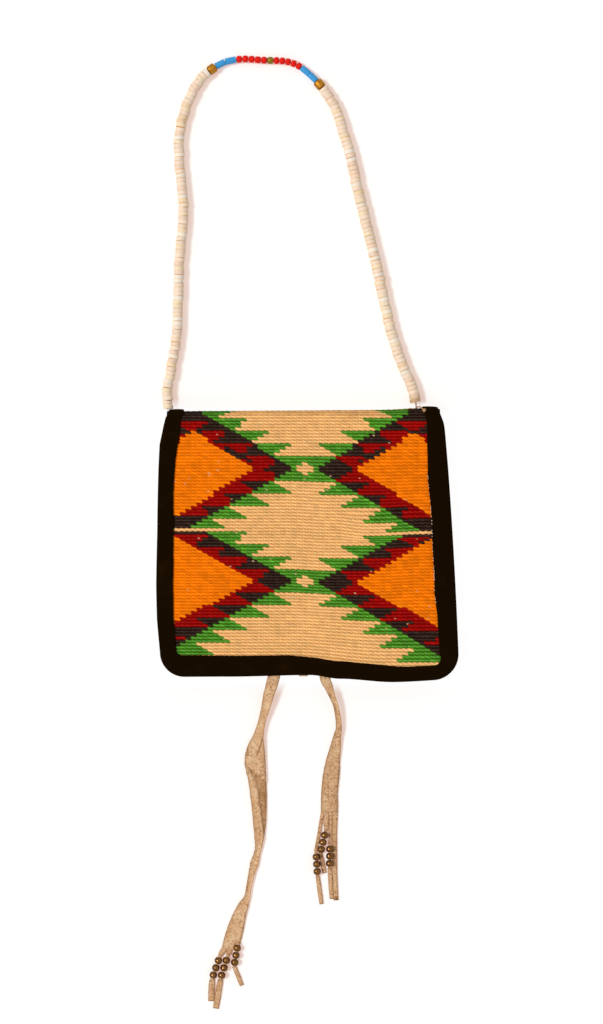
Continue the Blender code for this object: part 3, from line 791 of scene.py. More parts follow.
@dataclass(frozen=True)
class BagShape:
    """Where the folded sheet lies: flap, top fold and back."""

    length: float = 0.19485
    back_length: float = 0.19125
    fold_y: float = 0.09485
    fold_z: float = 0.0076
    fold_radius: float = 0.0046
    outer_radius: float = 0.0064
    thickness: float = 0.0018
    gap: float = 0.0003
    cloth: float = 0.0009
    edge_z: float = 0.0086
    rise: float = 0.0036
    back_z: float = 0.0030
    corner: float = 0.0185
    inset: float = 0.0012
    back_inset: float = 0.0020
    tuck: float = 0.0022
    sunk_run: float = 0.050
    left: SideLine = SideLine(-0.1066, -0.1120, -0.0022, (
        (0.0, 0.02, 0.05, 0.1, 0.2, 0.45, 0.65, 0.78, 0.86, 0.93, 1.0),
        (0.0006, -0.0002, -0.0009, -0.0023, -0.0021, -0.0009, -0.0008, 0.0, 0.0014, 0.0026,
         0.0034),
    ))
    right: SideLine = SideLine(0.1012, 0.1130, 0.0012, (
        (0.0, 0.02, 0.05, 0.2, 0.9, 1.0), (0.0002, 0.0014, 0.0018, 0.0021, 0.0019, 0.0015),
    ))
    shifts: Table = (
        (0.0, 0.225, 0.5, 0.6, 0.775, 1.0),
        (-0.0006, -0.0004, 0.0008, -0.0020, -0.0045, -0.0024),
    )
    sunk: Table = (
        (0.0, 0.76, 0.82, 0.89, 0.95, 1.0), (0.0022, 0.0012, 0.0009, -0.0001, 0.0000, 0.0006),
    )

    @property
    def fold_arc(self) -> float:
        """The length of the fold's outer arc."""
        return math.pi * self.outer_radius

    def flap_edges(self, down: Any) -> Tuple[Any, Any]:
        """Return the flap's left and right edges at a distance below the fold."""
        share = down / self.length
        return self.left.at(share), self.right.at(share)

    def back_edges(self, down: Any) -> Tuple[Any, Any]:
        """Find the back's edges, a little inside the flap's.

        Args:
            down: Distances below the fold.

        Returns:
            The left and the right edge.
        """
        left, right = self.flap_edges(down)
        inset = self.back_inset * np.minimum(1.0, down / 0.030)
        return left + inset, right - inset

    def edges(self, along: Any) -> Tuple[Any, Any]:
        """Find the edges of the whole sheet, from the flap to the back.

        Args:
            along: Distances along it, negative on the flap, growing to the back.

        Returns:
            The left and the right edge.
        """
        front = self.flap_edges(np.maximum(0.0, -along))
        back = self.back_edges(np.maximum(0.0, along - self.fold_arc))
        on_flap = along <= 0
        tuck = self.tuck * np.sin(np.pi * np.clip(along / self.fold_arc, 0.0, 1.0))
        return (np.where(on_flap, front[0], back[0]) + tuck,
                np.where(on_flap, front[1], back[1]) - tuck)

    def cloth_ends(self, along: Any) -> Tuple[Any, Any]:
        """Find where the sheet ends inside its binding, with rounded corners.

        Args:
            along: Distances along the sheet.

        Returns:
            The left and the right end.
        """
        down = np.where(along <= 0, -along, np.maximum(0.0, along - self.fold_arc))
        length = np.where(along <= 0, self.length, self.back_length)
        held = np.minimum(down, length - self.corner)
        left, right = self.edges(np.where(along <= 0, -held, held + self.fold_arc))
        radius = self.corner - self.inset
        reach = np.clip(radius - (length - self.inset - down), 0.0, radius)
        inset = self.inset + radius - np.sqrt(np.maximum(0.0, radius ** 2 - reach ** 2))
        return left + inset, right - inset

    def shift(self, x: Any, down: Any) -> Any:
        """Find how far the flap's lower part leans up or down.

        Args:
            x: Places across the flap.
            down: Distances below the fold.

        Returns:
            The leans at these places.
        """
        left, right = self.flap_edges(down)
        share = np.clip((x - left) / (right - left), 0.0, 1.0)
        stations, shifts = self.shifts
        index = np.clip(np.searchsorted(stations, share, side="right") - 1, 0, len(stations) - 2)
        low, high = np.take(stations, index), np.take(stations, index + 1)
        part = smooth((share - low) / (high - low))
        values = mix(np.take(shifts, index), np.take(shifts, index + 1), part)
        sunk = np.interp(share, *self.sunk) * (1 - smooth(down / self.sunk_run))
        return values * (down / self.length) ** 2 - sunk

    def point(self, x: Any, along: Any, height: Any) -> Any:
        """Return points of the folded sheet.

        Args:
            x: Places across the sheet.
            along: Places along it, negative on the flap.
            height: Heights over the sheet's inner face.

        Returns:
            An array of points.
        """
        x, along, height = np.broadcast_arrays(
            np.asarray(x, float), np.asarray(along, float), np.asarray(height, float)
        )
        down = np.maximum(0.0, -along)
        left, right = self.flap_edges(down)
        share = np.clip((x - left) / (right - left), 0.0, 1.0)
        dome = 1 - np.abs(2 * share - 1) ** 4
        near_fold = 1 - smooth(down / 0.045)
        above_bottom = smooth((self.length - down) / 0.060)
        lift = self.rise * (1 - (1 - near_fold) * (1 - dome * above_bottom))
        flap_y = self.fold_y - down + self.shift(x, down)
        flap_z = self.edge_z + lift + height
        angle = np.clip(along, 0.0, self.fold_arc) / self.outer_radius
        radius = self.fold_radius + height
        sunk = np.interp(share, *self.sunk) * (1 - ramp(along, self.fold_arc, self.sunk_run))
        fold_y = self.fold_y + radius * np.sin(angle) - sunk
        fold_z = self.fold_z + radius * np.cos(angle)
        back_y = self.fold_y - (along - self.fold_arc) - sunk
        parts = [along <= 0, along < self.fold_arc]
        y = np.select(parts, [flap_y, fold_y], back_y)
        z = np.select(parts, [flap_z, fold_z], self.back_z - height)
        return np.stack([x, y, z], axis=-1)

    def back_point(self, x: float, down: float, height: float) -> Any:
        """Return a point on the back: height runs down, from its inner face."""
        return np.array([x, self.fold_y - down, self.back_z - height])


SHAPE = BagShape()


# Twined sheet


class Yarn(Enum):
    """The yarns: colour in linear light, how far its light swings, and how strongly a painted
    highlight shows on its stitches.
    """

    CREAM = (tone(242, 186, 118), 0.09, 0.45)
    ORANGE = (tone(255, 128, 3), 0.14, 0.12)
    RED = (tone(152, 4, 0), 0.14, 0.25)
    DARK = (tone(44, 27, 20), 0.3, 0.6)
    GREEN = (tone(64, 126, 24), 0.14, 1.3)


@dataclass(frozen=True)
class SteppedPattern:
    """Two rows of stepped hourglass motifs, counted in stitches and rows.

    A row is counted from the first motif's tip, growing down the flap. A stitch is counted from
    the middle of the bag. Each motif is built of steps of four rows, and the teeth of a step
    widen by a stitch with each row. A small cream cross lies at each tip.
    """

    rows_between_tips: int = 36
    rows_below: int = 24
    cream_row: int = 19
    mirror_row: float = -21.0
    side_axis: Tuple[float, float] = (19.8, 19.5)
    step_rows: int = 4
    green: float = 2.09
    green_end: float = 17.4
    cross: Tuple[float, ...] = (1.3, 0.6, 0.0, 0.0)

    def yarn(self, row: int, stitch: int) -> Yarn:
        """Return the yarn of one stitch.

        Args:
            row: The row's number below the first tip.
            stitch: The stitch's number from the middle.

        Returns:
            Its yarn.
        """
        place = row + 0.5
        if place < self.mirror_row:
            place = 2 * self.mirror_row - place
        if int(math.floor(place)) == self.cream_row:
            return Yarn.CREAM
        first = place < self.cream_row
        rows = place if first else place - self.rows_between_tips
        far = abs(rows)
        if rows > self.rows_below or far > self.rows_below + self.step_rows:
            return Yarn.CREAM
        step = int(far // self.step_rows)
        turn = int(round(far - (self.step_rows * step + 0.5)))
        if rows < 0:
            return self.above(first, step, 3 - turn, far, abs(stitch), stitch < 0)
        return self.below(first, step, turn, far, abs(stitch), stitch < 0)

    def above(
        self, first: bool, step: int, turn: int, far: float, out: float, left: bool
    ) -> Yarn:
        """Return the yarn above a motif's tip.

        Args:
            first: Whether it is the motif next to the fold.
            step: Which step of the motif.
            turn: The row in the step, counted down the flap.
            far: Rows from the tip.
            out: Stitches from the middle.
            left: Whether it is left of the middle.

        Returns:
            The yarn.
        """
        late = first and far > 7
        axis = self.side_axis[0 if left else 1]
        field = far + (7.9 if first and far > 9 else 8.9)
        if step == 0:
            cream_end = self.cross[3 - turn]
        elif step < 3:
            cream_end = self.step_rows * step - 1.0 + turn
        else:
            cream_end = self.step_rows * step - (1.5 if step == 3 else 3.0) + 0.7 * turn
        if out < cream_end:
            return Yarn.CREAM
        if out < min(far, self.green_end) + (1.09 if late else self.green):
            return Yarn.GREEN
        inward = 2 * axis - out if first and out > axis else out
        if inward > field:
            return Yarn.ORANGE
        last = inward > field - 1.0
        if step == 3:
            start = 15.7 + turn + (0.7 if left else -0.4)
            return Yarn.RED if turn > 0 and 0 <= out - start <= 8.6 - 2 * turn else Yarn.DARK
        if step > 3:
            return Yarn.DARK
        if step == 2:
            start = 13.7 + 0.8 * turn + (0.5 if left else -0.5)
            if first and turn == 0 and out > 18.6:
                return Yarn.DARK
            if not first:
                start = 14.6 + 0.4 * turn if turn else field - 1.0
            return Yarn.RED if inward >= start else Yarn.DARK
        start = 6.3 + 0.8 * turn
        if first:
            start = (6.3, 5.9, 5.2, 6.8)[turn] if left else 5.6 + 0.9 * turn
        stop = field - (1.5 if first and turn < 2 else 0.0)
        if step == 1:
            start = (10.0 if first else 10.5) + 0.2 * turn * turn
            stop = field - (1.5 if first and turn else 0.0)
        if last and turn == 1:
            return Yarn.RED
        return Yarn.RED if start <= inward <= stop else Yarn.DARK

    def below(
        self, first: bool, step: int, turn: int, far: float, out: float, left: bool
    ) -> Yarn:
        """Choose the yarn below a motif's tip.

        Args:
            first: Whether it is the first motif.
            step: Which step of the motif.
            turn: The row in the step, counted down the flap.
            far: Rows from the tip.
            out: Stitches from the middle.
            left: Whether it is left of the middle.

        Returns:
            The yarn.
        """
        field = far + 8.8
        if far > 8:
            field += -1.0 if first else 1.0
        steps_end = self.step_rows * step
        cream_end = steps_end + 1.6 - turn - max(0, step - 3)
        if out < (cream_end if step else self.cross[turn]):
            return Yarn.CREAM
        if out < far + self.green:
            return Yarn.GREEN
        if step == 4 and not first:
            return Yarn.RED if turn in (1, 2) and out >= 25.0 - 1.9 * turn else Yarn.DARK
        if step > 3 or (step == 3 and turn == 3):
            return Yarn.DARK
        if out > field:
            return Yarn.ORANGE
        if step == 0:
            steps = (7.25, 5.6, 5.6, 5.6) if left else (8.25, 7.25, 6.25, 5.6)
            start = steps[turn] if first else 8.6 - turn
        elif first:
            start = steps_end + (7.6, 6.65, 6.0, 5.7)[turn] - (0.7 if step > 1 else 0.0)
        else:
            start = steps_end + 8.6 - turn - (1.0 if step > 2 else 0.0)
        return Yarn.RED if out >= start else Yarn.DARK


PLAIN_CELL = (999, 0)


@dataclass
class Weave:
    """The sheet's mesh as it grows: a pattern place for each corner, a cell for each face."""

    points: List[Any] = field(default_factory=list)
    faces: List[Tuple[int, ...]] = field(default_factory=list)
    marks: List[Place] = field(default_factory=list)
    cells: List[Tuple[int, int]] = field(default_factory=list)

    def lay(self, points: Any) -> int:
        """Keep a line of vertices.

        Args:
            points: The vertices in order.

        Returns:
            The number of the first one.
        """
        first = sum(len(line) for line in self.points)
        self.points.append(points)
        return first

    def add(
        self, face: Sequence[int], marks: Sequence[Place] = (),
        cell: Tuple[int, int] = PLAIN_CELL,
    ) -> None:
        """Keep a face.

        Args:
            face: Its vertices.
            marks: Each corner's place in its stitch, or nothing for a plain face.
            cell: Its row and stitch.
        """
        self.faces.append(tuple(face))
        self.marks.extend(marks or [(0.5, 0.5)] * len(face))
        self.cells.append(cell)


@dataclass
class TwinedSheet:
    """The sheet of twining, in one piece over flap, fold and back."""

    finishes: Finishes
    shape: BagShape = SHAPE
    pattern: SteppedPattern = SteppedPattern()
    stitch: float = 0.00417
    row: float = 0.00236
    middle: float = -0.0011
    first_tip: float = 0.0389
    half_width: int = 29
    lowest_row: int = 65
    highest_row: int = -106
    steps: int = 3
    turns: Tuple[float, ...] = (0.0, 0.3, 0.7, 1.0)
    valley: float = 0.00132
    crest: float = 0.00188
    uneven: float = 0.16
    last_row: float = 66.2
    even_rows: float = 61.0
    drawn_in: float = 0.6
    inner_step: int = 6
    lean: float = 0.13
    sag: float = 0.0065
    dip: float = 0.0013
    flecks: float = 0.0004
    fleck_boost: float = 4.0
    fleck: Color = tone(214, 178, 140)
    fold_rows: Tuple[int, int] = (-26, -17)
    fold_shade: float = 0.86

    @property
    def low(self) -> int:
        """The number of the first place across the sheet. The last is its opposite."""
        return -self.half_width * self.steps

    def row_shift(self, x: Any, down: Any) -> Any:
        """Find how far the rows lean on the table's plane: they sag at the lower right.

        Args:
            x: Places across the sheet.
            down: Distances below the fold.

        Returns:
            The leans at these places.
        """
        grown = np.clip((down - 0.110) / 0.080, 0.0, 1.3) ** 1.5
        dip = ramp(x, -0.016, 0.034) * (1 - ramp(x, 0.050, 0.040))
        middle = ramp(down, 0.010, 0.06) * (1 - ramp(down, 0.120, 0.05))
        return -self.sag * ramp(x, -0.010, 0.070) * grown - self.dip * dip * middle

    def along(self, number: Any, x: Any) -> Any:
        """Return a row boundary's place along the sheet.

        Args:
            number: Rows below the first tip.
            x: Places across the sheet.

        Returns:
            The places along the sheet, negative on the flap.
        """
        shape = self.shape
        number, x = np.broadcast_arrays(np.asarray(number, float), np.asarray(x, float))
        count = np.minimum(number, self.even_rows)
        late = ramp(count, 12, 4) * (1 - ramp(count, 20.5, 3))
        shift = 0.9 * late * ramp(x, 0.020, 0.025) - self.drawn_in * ramp(count, 31, 9)
        base = self.first_tip + self.row * (count + shift)
        lean = self.row_shift(x, base) - shape.shift(x, np.maximum(base, 0.0))
        down = base - lean * (1 - smooth(-base / 0.030))
        rest = np.clip((number - self.even_rows) / (self.last_row - self.even_rows), 0.0, 1.0)
        down = mix(down, shape.length - shape.inset, rest)
        return np.minimum(-down, shape.fold_arc + shape.back_length - shape.inset)

    def offset(self, turn: float) -> float:
        """Return how far a line is set along its row, in stitches: a stitch slants a little."""
        return ((turn or 1.0) - 2.0) / self.steps

    def sway(self, count: int, which: Any, turn: float) -> Any:
        """Return how far each place of a line leans down its row, in rows.

        Args:
            count: How many places the line has.
            which: Which place each number uses.
            turn: Where the line lies in its row.

        Returns:
            The lean of each place.
        """
        border = turn in (0.0, 1.0)
        leans = (1.0, -1.0, 0.0) if border else (0.0, -0.5, 0.5)
        sway = np.zeros(count)
        for index, place in enumerate(which):
            if 0 < place < count - 1:
                sway[place] = self.lean * leans[(self.low + index + border) % self.steps]
        return sway

    def line(self, number: float, turn: float) -> tuple:
        """Lay one line of places across the sheet.

        Args:
            number: The row, counted below the first tip.
            turn: Where the line lies in the row.

        Returns:
            The x of each kept place, and for each number which kept place it is.
        """
        numbers = np.arange(self.low, 1 - self.low)
        raw = self.middle + (numbers / self.steps + self.offset(turn)) * self.stitch
        left, right = self.shape.cloth_ends(self.along(number + turn, raw))
        inside = np.flatnonzero((raw > left) & (raw < right))
        first, last = (inside[0], inside[-1]) if len(inside) else [len(raw) // 2] * 2
        keep = np.arange(first - 1, last + 2)
        which = np.clip(np.arange(len(raw)), first - 1, last + 1) - (first - 1)
        return np.clip(raw, left, right)[keep], which

    def build(self) -> bpy.types.Object:
        """Returns:
            The piece.
        """
        rng = Random(7)
        weave = Weave()
        chains: List[Any] = []
        bottom: Optional[Tuple[Any, int]] = None
        for number in range(self.lowest_row, self.highest_row - 1, -1):
            stitches = range(-self.half_width - 2, self.half_width + 3)
            lifts = {stitch: rng.uniform(-1, 1) for stitch in stitches}
            lines = []
            for turn in reversed(self.turns):
                if turn == 1.0 and bottom is not None:
                    lines.append(bottom)
                    continue
                x, which = self.line(number, turn)
                along = self.along(number + turn + self.sway(len(x), which, turn), x)
                height = self.relief(len(x), which, turn, lifts)
                first = weave.lay(self.shape.point(x, along, height))
                lines.append((which, first))
                chains.append((number + turn if turn in (0.0, 1.0) else None, first, x))
            for k, (below, above) in enumerate(zip(lines, lines[1:])):
                self.strip(weave, below, above, number, self.turns[-1 - k], self.turns[-2 - k])
            bottom = lines[-1]
        self.close(weave, chains)
        item = mesh_piece(
            "twined_sheet", np.concatenate(weave.points), weave.faces, self.finishes.twining
        )
        self.colour(item, weave, rng)
        outward(item)
        declare(item, "twined_husk", "woven_panel")
        return item

    def relief(self, count: int, which: Any, turn: float, lifts: Dict[int, float]) -> Any:
        """Return the heights of one line of the relief.

        Args:
            count: How many places the line has.
            which: Which place each number uses.
            turn: Where the line lies in its row, from 0 to 1.
            lifts: A random lift for each stitch.

        Returns:
            The height of each place.
        """
        height = np.full(count, self.valley)
        if turn in (0.0, 1.0):
            return height
        profile = math.sin(math.pi * turn) ** 0.7
        for number, place in enumerate(which, start=self.low):
            crown = 0.5 if number % self.steps == 0 else 1.0
            rise = (self.crest - self.valley) * profile * crown
            lift = lifts.get(number // self.steps, 0.0)
            height[place] = self.valley + rise * (1 + self.uneven * lift)
        return height

    def strip(
        self, weave: Weave, below: Tuple[Any, int], above: Tuple[Any, int], number: int,
        low_turn: float, high_turn: float,
    ) -> None:
        """Join two lines of places by faces, each with its place in the pattern.

        Args:
            weave: The mesh so far.
            below: The lower line: which place each number uses, and its first vertex.
            above: The upper line.
            number: The row.
            low_turn: Where the lower line lies in the row.
            high_turn: Where the upper line lies in the row.
        """
        lag = 1 if high_turn == 0.0 else 0
        span = 1 - 2 * self.low
        for index in range(-self.steps, span + self.steps):
            corners: Dict[int, Place] = {}
            for (which, first), place, turn in (
                (above, index - lag, high_turn), (below, index, low_turn),
                (below, index + 1, low_turn), (above, index + 1 - lag, high_turn),
            ):
                vertex = first + int(which[min(max(place, 0), span - 1)])
                across = (self.low + place) / self.steps + self.offset(turn)
                corners.setdefault(vertex, (across, number + turn))
            if len(corners) > 2:
                cell = (number, (self.low + index) // self.steps)
                weave.add(tuple(corners), tuple(corners.values()), cell)

    def close(self, weave: Weave, chains: Sequence[Any]) -> None:
        """Add the plain inner face, and join it to the relief all round.

        Args:
            weave: The mesh so far.
            chains: Each relief line: its row number or None, its first vertex and its x.
        """
        numbers = np.arange(self.low, 1 - self.low, self.inner_step)
        raw = self.middle + numbers * (self.stitch / self.steps)
        inner: List[Tuple[Any, int, int]] = []
        for place, (number, _, x) in enumerate(chains):
            if number is None:
                continue
            past_left = raw > x[0] + 1e-6
            kept = np.concatenate([x[:1], raw[past_left & (raw < x[-1] - 1e-6)], x[-1:]])
            first = int(np.argmax(past_left)) - 1
            which = np.clip(np.arange(len(raw)), first, first + len(kept) - 1) - first
            start = weave.lay(self.shape.point(kept, self.along(number, kept), 0.0))
            inner.append((which, start, place))
        for (below, low_first, low_place), (above, high_first, high_place) in zip(
            inner, inner[1:]
        ):
            for k in range(len(below) - 1):
                ring = dict.fromkeys((
                    low_first + int(below[k]), high_first + int(above[k]),
                    high_first + int(above[k + 1]), low_first + int(below[k + 1]),
                ))
                if len(ring) > 2:
                    weave.add(tuple(ring))
            between = chains[low_place:high_place + 1]
            weave.add([start for _, start, _ in between] + [high_first, low_first])
            ends = [start + len(x) - 1 for _, start, x in between]
            weave.add(ends[::-1] + [low_first + int(below[-1]), high_first + int(above[-1])])
        for which, first, place in (inner[0], inner[-1]):
            _, start, x = chains[place]
            outer = list(range(start, start + len(x)))
            coarse = np.concatenate(weave.points)[first:first + int(which[-1]) + 1, 0]
            cut = [int(np.argmin(np.abs(x - value))) for value in coarse]
            for k in range(len(coarse) - 1):
                weave.add(outer[cut[k]:cut[k + 1] + 1] + [first + k + 1, first + k])

    def colour(self, item: bpy.types.Object, weave: Weave, rng: Random) -> None:
        """Store each stitch's yarn colour, with a few pale flecks, and the pattern's map.

        Args:
            item: The sheet.
            weave: The mesh that it was made from.
            rng: The random source.
        """
        layer = item.data.uv_layers.new(name="weave")
        layer.data.foreach_set("uv", np.asarray(weave.marks, dtype=float).ravel())
        known: Dict[Tuple[int, int], Tuple[float, ...]] = {}
        colors: List[Tuple[float, ...]] = []
        for face, cell in zip(item.data.polygons, weave.cells):
            if cell not in known:
                known[cell] = self.stitch_color(*cell, rng)
            red, green = known[cell][:2]
            boost = self.fleck_boost if green < 0.3 * red or red < 0.1 else 1.0
            fleck = cell != PLAIN_CELL and rng.random() < self.flecks * boost
            color = (*self.fleck, 0.0) if fleck else known[cell]
            colors.extend([color] * face.loop_total)
        paint(item, "yarn", colors, "CORNER")

    def stitch_color(self, row: int, stitch: int, rng: Random) -> Tuple[float, ...]:
        """Colour one stitch.

        Args:
            row: Its row.
            stitch: Its number in the row.
            rng: The random numbers.

        Returns:
            Red, green and blue, and how strongly a painted highlight shows on it.
        """
        yarn = Yarn.CREAM if (row, stitch) == PLAIN_CELL else self.pattern.yarn(row, stitch)
        (red, green, blue), swing, streak = yarn.value
        band = noise.noise(Vector((row * 0.55, stitch * 0.06, 3.0)))
        light = 1 + rng.uniform(-swing, swing) + 0.10 * band
        warm = rng.uniform(-0.03, 0.03)
        if yarn is Yarn.GREEN:
            light += max(0.0, rng.gauss(0.0, 0.16))
        # painted shade on the rows round the top fold
        if self.fold_rows[0] < row < self.fold_rows[1]:
            light *= self.fold_shade
        return red * light * (1 + warm), green * light, blue * light * (1 - warm), streak


@dataclass
class PouchFront:
    """The plain front of the pouch, under the flap."""

    finishes: Finishes
    shape: BagShape = SHAPE
    thickness: float = 0.0012
    rise: float = 0.0051
    flange: float = 0.0135
    slope: float = 0.034
    mouth: float = 0.008
    across: int = 72
    rows: int = 64

    def build(self) -> bpy.types.Object:
        """Returns:
            The piece.
        """
        shape = self.shape
        bottom = shape.back_length - shape.inset
        points, faces = [], []
        for i in range(self.rows + 1):
            down = mix(self.mouth, bottom, i / self.rows)
            left, right = shape.cloth_ends(np.array(down + shape.fold_arc))
            edge_left, edge_right = map(float, shape.back_edges(down))
            from_bottom = ramp(bottom - down, self.flange, self.slope)
            for k in range(self.across + 1):
                x = float(mix(left, right, k / self.across))
                inset = min(x - edge_left, edge_right - x)
                lift = ramp(inset, self.flange, self.slope) * from_bottom
                points.append(shape.back_point(x, down, -shape.gap - self.rise * lift))
        width = self.across + 1
        for i in range(self.rows):
            for k in range(self.across):
                a = i * width + k
                faces.append((a, a + width, a + width + 1, a + 1))
        item = mesh_piece("pouch_front", points, faces, self.finishes.plain)
        solid = item.modifiers.new("thickness", "SOLIDIFY")
        solid.thickness = self.thickness
        solid.offset = 1.0
        declare(item, "twined_husk", "pocket_front")
        return item


# Velvet bindings


class Edge(Enum):
    """Which edge a binding is folded round: its piece, its CAD node and its flat width."""

    FLAP = ("flap_velvet", "flap_binding", 0.0300)
    POUCH = ("pouch_velvet", "pouch_binding", 0.0290)


@dataclass
class VelvetBinding:
    """A strip of velvet folded round the sides, the corners and the bottom."""

    finishes: Finishes
    edge: Edge
    shape: BagShape = SHAPE
    spacing: float = 0.0024
    puff: float = 0.00035
    wobble: float = 0.00045
    corner_steps: int = 14
    fold_steps: int = 10
    table: float = 0.0001
    pouch_sheet: float = 0.0012
    pouch_width: float = 0.0125
    soft: float = 0.00012
    soft_places: Tuple[int, int] = (6, 12)
    left_widths: Table = (
        (0, 0.05, 0.1, 0.17, 0.3, 0.45, 0.6, 1),
        (0.0118, 0.0132, 0.0137, 0.0124, 0.0116, 0.0124, 0.0126, 0.0124),
    )
    right_widths: Table = (
        (0, 0.1, 0.24, 0.4, 0.5, 0.6, 0.67, 0.75, 0.86, 1),
        (0.0122, 0.0142, 0.0158, 0.0150, 0.0158, 0.0156, 0.0161, 0.0147, 0.0143, 0.0144),
    )
    bottom_widths: Table = (
        (-0.080, -0.030, -0.012, 0.003, 0.020, 0.050, 0.080, 0.100),
        (0.0160, 0.0152, 0.0150, 0.0134, 0.0130, 0.0122, 0.0108, 0.0106),
    )

    def outline(self) -> List[Place]:
        """Go round the edge that the strip covers.

        Returns:
            Each place's x, its distance along and its direction inwards.
        """
        shape = self.shape
        flap = self.edge is Edge.FLAP
        edges = shape.flap_edges if flap else shape.back_edges
        length = shape.length if flap else shape.back_length
        start = 0.0 if flap else shape.gap
        straight = length - shape.corner
        count = int(straight / self.spacing)
        sides: List[List[Place]] = []
        for side in (0, 1):
            sign = 1 - 2 * side
            places = []
            for i in range(count + 1):
                down = mix(start, straight, i / count)
                places.append((float(edges(down)[side]), down, sign, 0.0))
            centre = float(edges(straight)[side]) + sign * shape.corner
            for i in range(1, self.corner_steps):
                angle = math.pi / 2 * i / self.corner_steps
                inward = (sign * math.cos(angle), -math.sin(angle))
                places.append((
                    centre - inward[0] * shape.corner, straight - inward[1] * shape.corner,
                    *inward,
                ))
            places.append((centre, length, 0.0, -1.0))
            sides.append(places)
        low, high = sides[0][-1][0], sides[1][-1][0]
        steps = int((high - low) / self.spacing)
        bottom = [(mix(low, high, i / steps), length, 0.0, -1.0) for i in range(1, steps)]
        path = sides[0] + bottom + sides[1][::-1]
        if not flap:
            return path
        path = [(x, -down, inward_x, -inward) for x, down, inward_x, inward in path]
        fold = [shape.fold_arc * (1 - i / self.fold_steps) for i in range(self.fold_steps)]
        left, right = (
            [(float(shape.edges(np.array(place))[side]), place, 1 - 2 * side, 0.0)
             for place in fold]
            for side in (0, 1)
        )
        return left + path + right[::-1]

    def width(self, place: Place) -> float:
        """Find how wide the strip is seen.

        Args:
            place: A place on the outline.

        Returns:
            The visible width.
        """
        if self.edge is Edge.POUCH:
            return self.pouch_width
        x, along, inward_x, inward_along = place
        share = min(1.0, max(0.0, -along / self.shape.length))
        sides = self.left_widths if inward_x >= 0 else self.right_widths
        side, bottom = np.interp(share, *sides), np.interp(x, *self.bottom_widths)
        return mix(float(side), float(bottom), abs(inward_along))

    def section(self, low: float, high: float, width: float) -> List[Tuple[float, float]]:
        """Return the strip's section round the edge: inset and height.

        Args:
            low: The underside of what it holds.
            high: The upper side of what it holds.
            width: How far it reaches in.

        Returns:
            The section's places, closed.
        """
        cloth = self.shape.cloth
        bottom, top = low - cloth, high + cloth
        shares = (0.96, 0.85, 0.65, 0.45, 0.28, 0.14)
        crown = [(width * s, top + self.puff * math.sin(math.pi * s) ** 0.6) for s in shares]
        inside = [(width, low), (cloth, low), (cloth, high), (width, high)]
        lip = [(width + 0.0002, mix(high, top, 0.5)), (width, top - 0.0001)]
        middle = mix(bottom, top, 0.5)
        outer = [
            (0.0009, top + 0.0001), (0.0003, mix(middle, top, 0.62)), (0.0, middle),
            (0.0003, mix(middle, bottom, 0.62)), (0.0009, bottom + 0.0001),
        ]
        under = [(width * 0.3, bottom), (width * 0.7, bottom), (width, bottom)]
        return inside + lip + crown + outer + under

    def build(self) -> bpy.types.Object:
        """Returns:
            The piece.
        """
        shape = self.shape
        name, node, strip_width = self.edge.value
        flap = self.edge is Edge.FLAP
        solve = shape.point if flap else shape.back_point
        low = -shape.gap if flap else -(shape.gap + self.pouch_sheet + shape.gap)
        high = shape.thickness + shape.gap
        rings = []
        travelled = 0.0
        path = self.outline()
        for index, place in enumerate(path):
            x, along, inward_x, inward_along = place
            if index:
                travelled += math.dist(path[index - 1][:2], place[:2])
            drift = noise.noise(Vector((travelled * 55, 0.0, 1.0 if flap else 4.0)))
            fine = noise.noise(Vector((travelled * 260, 2.0, 0.0)))
            width = self.width(place) + self.wobble * (0.8 * drift + 0.5 * fine)
            ring = []
            for number, (inset, height) in enumerate(self.section(low, high, width)):
                if self.soft_places[0] <= number <= self.soft_places[1]:
                    height += self.soft * noise.noise(
                        Vector((travelled * 120, number * 0.9, 7.0))
                    )
                spot = Vector(solve(x + inset * inward_x, along + inset * inward_along, height))
                spot.z = max(spot.z, self.table)
                ring.append(spot)
            rings.append(ring)
        item = mesh_piece(name, *swept(rings), self.finishes.velvet)
        outward(item)
        declare(item, "velvet", node)
        return item


@dataclass
class EdgeSewing:
    """Small pale stitches along the inner edge of the flap's right binding."""

    binding: VelvetBinding
    first: float = 0.0445
    last: float = 0.1380
    length: float = 0.0010
    radius: float = 0.00026
    sides: int = 6
    taper: Tuple[Place, ...] = ((-0.5, 0.45), (-0.3, 1.0), (0.3, 1.0), (0.5, 0.45))
    steps: Tuple[float, ...] = (0.0016, 0.0023, 0.0031, 0.0048)

    def build(self) -> bpy.types.Object:
        """Returns:
            The piece.
        """
        shape = self.binding.shape
        rng = Random(23)
        points: List[Vector] = []
        faces: List[Tuple[int, ...]] = []
        down = self.first
        top = shape.thickness + shape.gap + shape.cloth
        while down < self.last:
            edge = float(shape.flap_edges(down)[1])
            reach = self.binding.width((edge, -down, -1.0, 0.0)) + rng.uniform(0.0, 0.0003)
            long = self.length * rng.uniform(0.7, 1.5)
            rings = []
            for step, thick in self.taper:
                centre = Vector(shape.point(edge - reach, -down - step * long, top))
                rings.append([
                    centre + Vector((math.cos(turn), 0.0, math.sin(turn))) * self.radius * thick
                    for turn in (math.tau * k / self.sides for k in range(self.sides))
                ])
            base = len(points)
            stitch, skin = swept(rings)
            points += stitch
            faces += [tuple(base + corner for corner in face) for face in skin]
            down += rng.choice(self.steps)
        item = mesh_piece("edge_sewing", points, faces, self.binding.finishes.thread)
        outward(item)
        declare(item, "cord")
        return item


# Beads


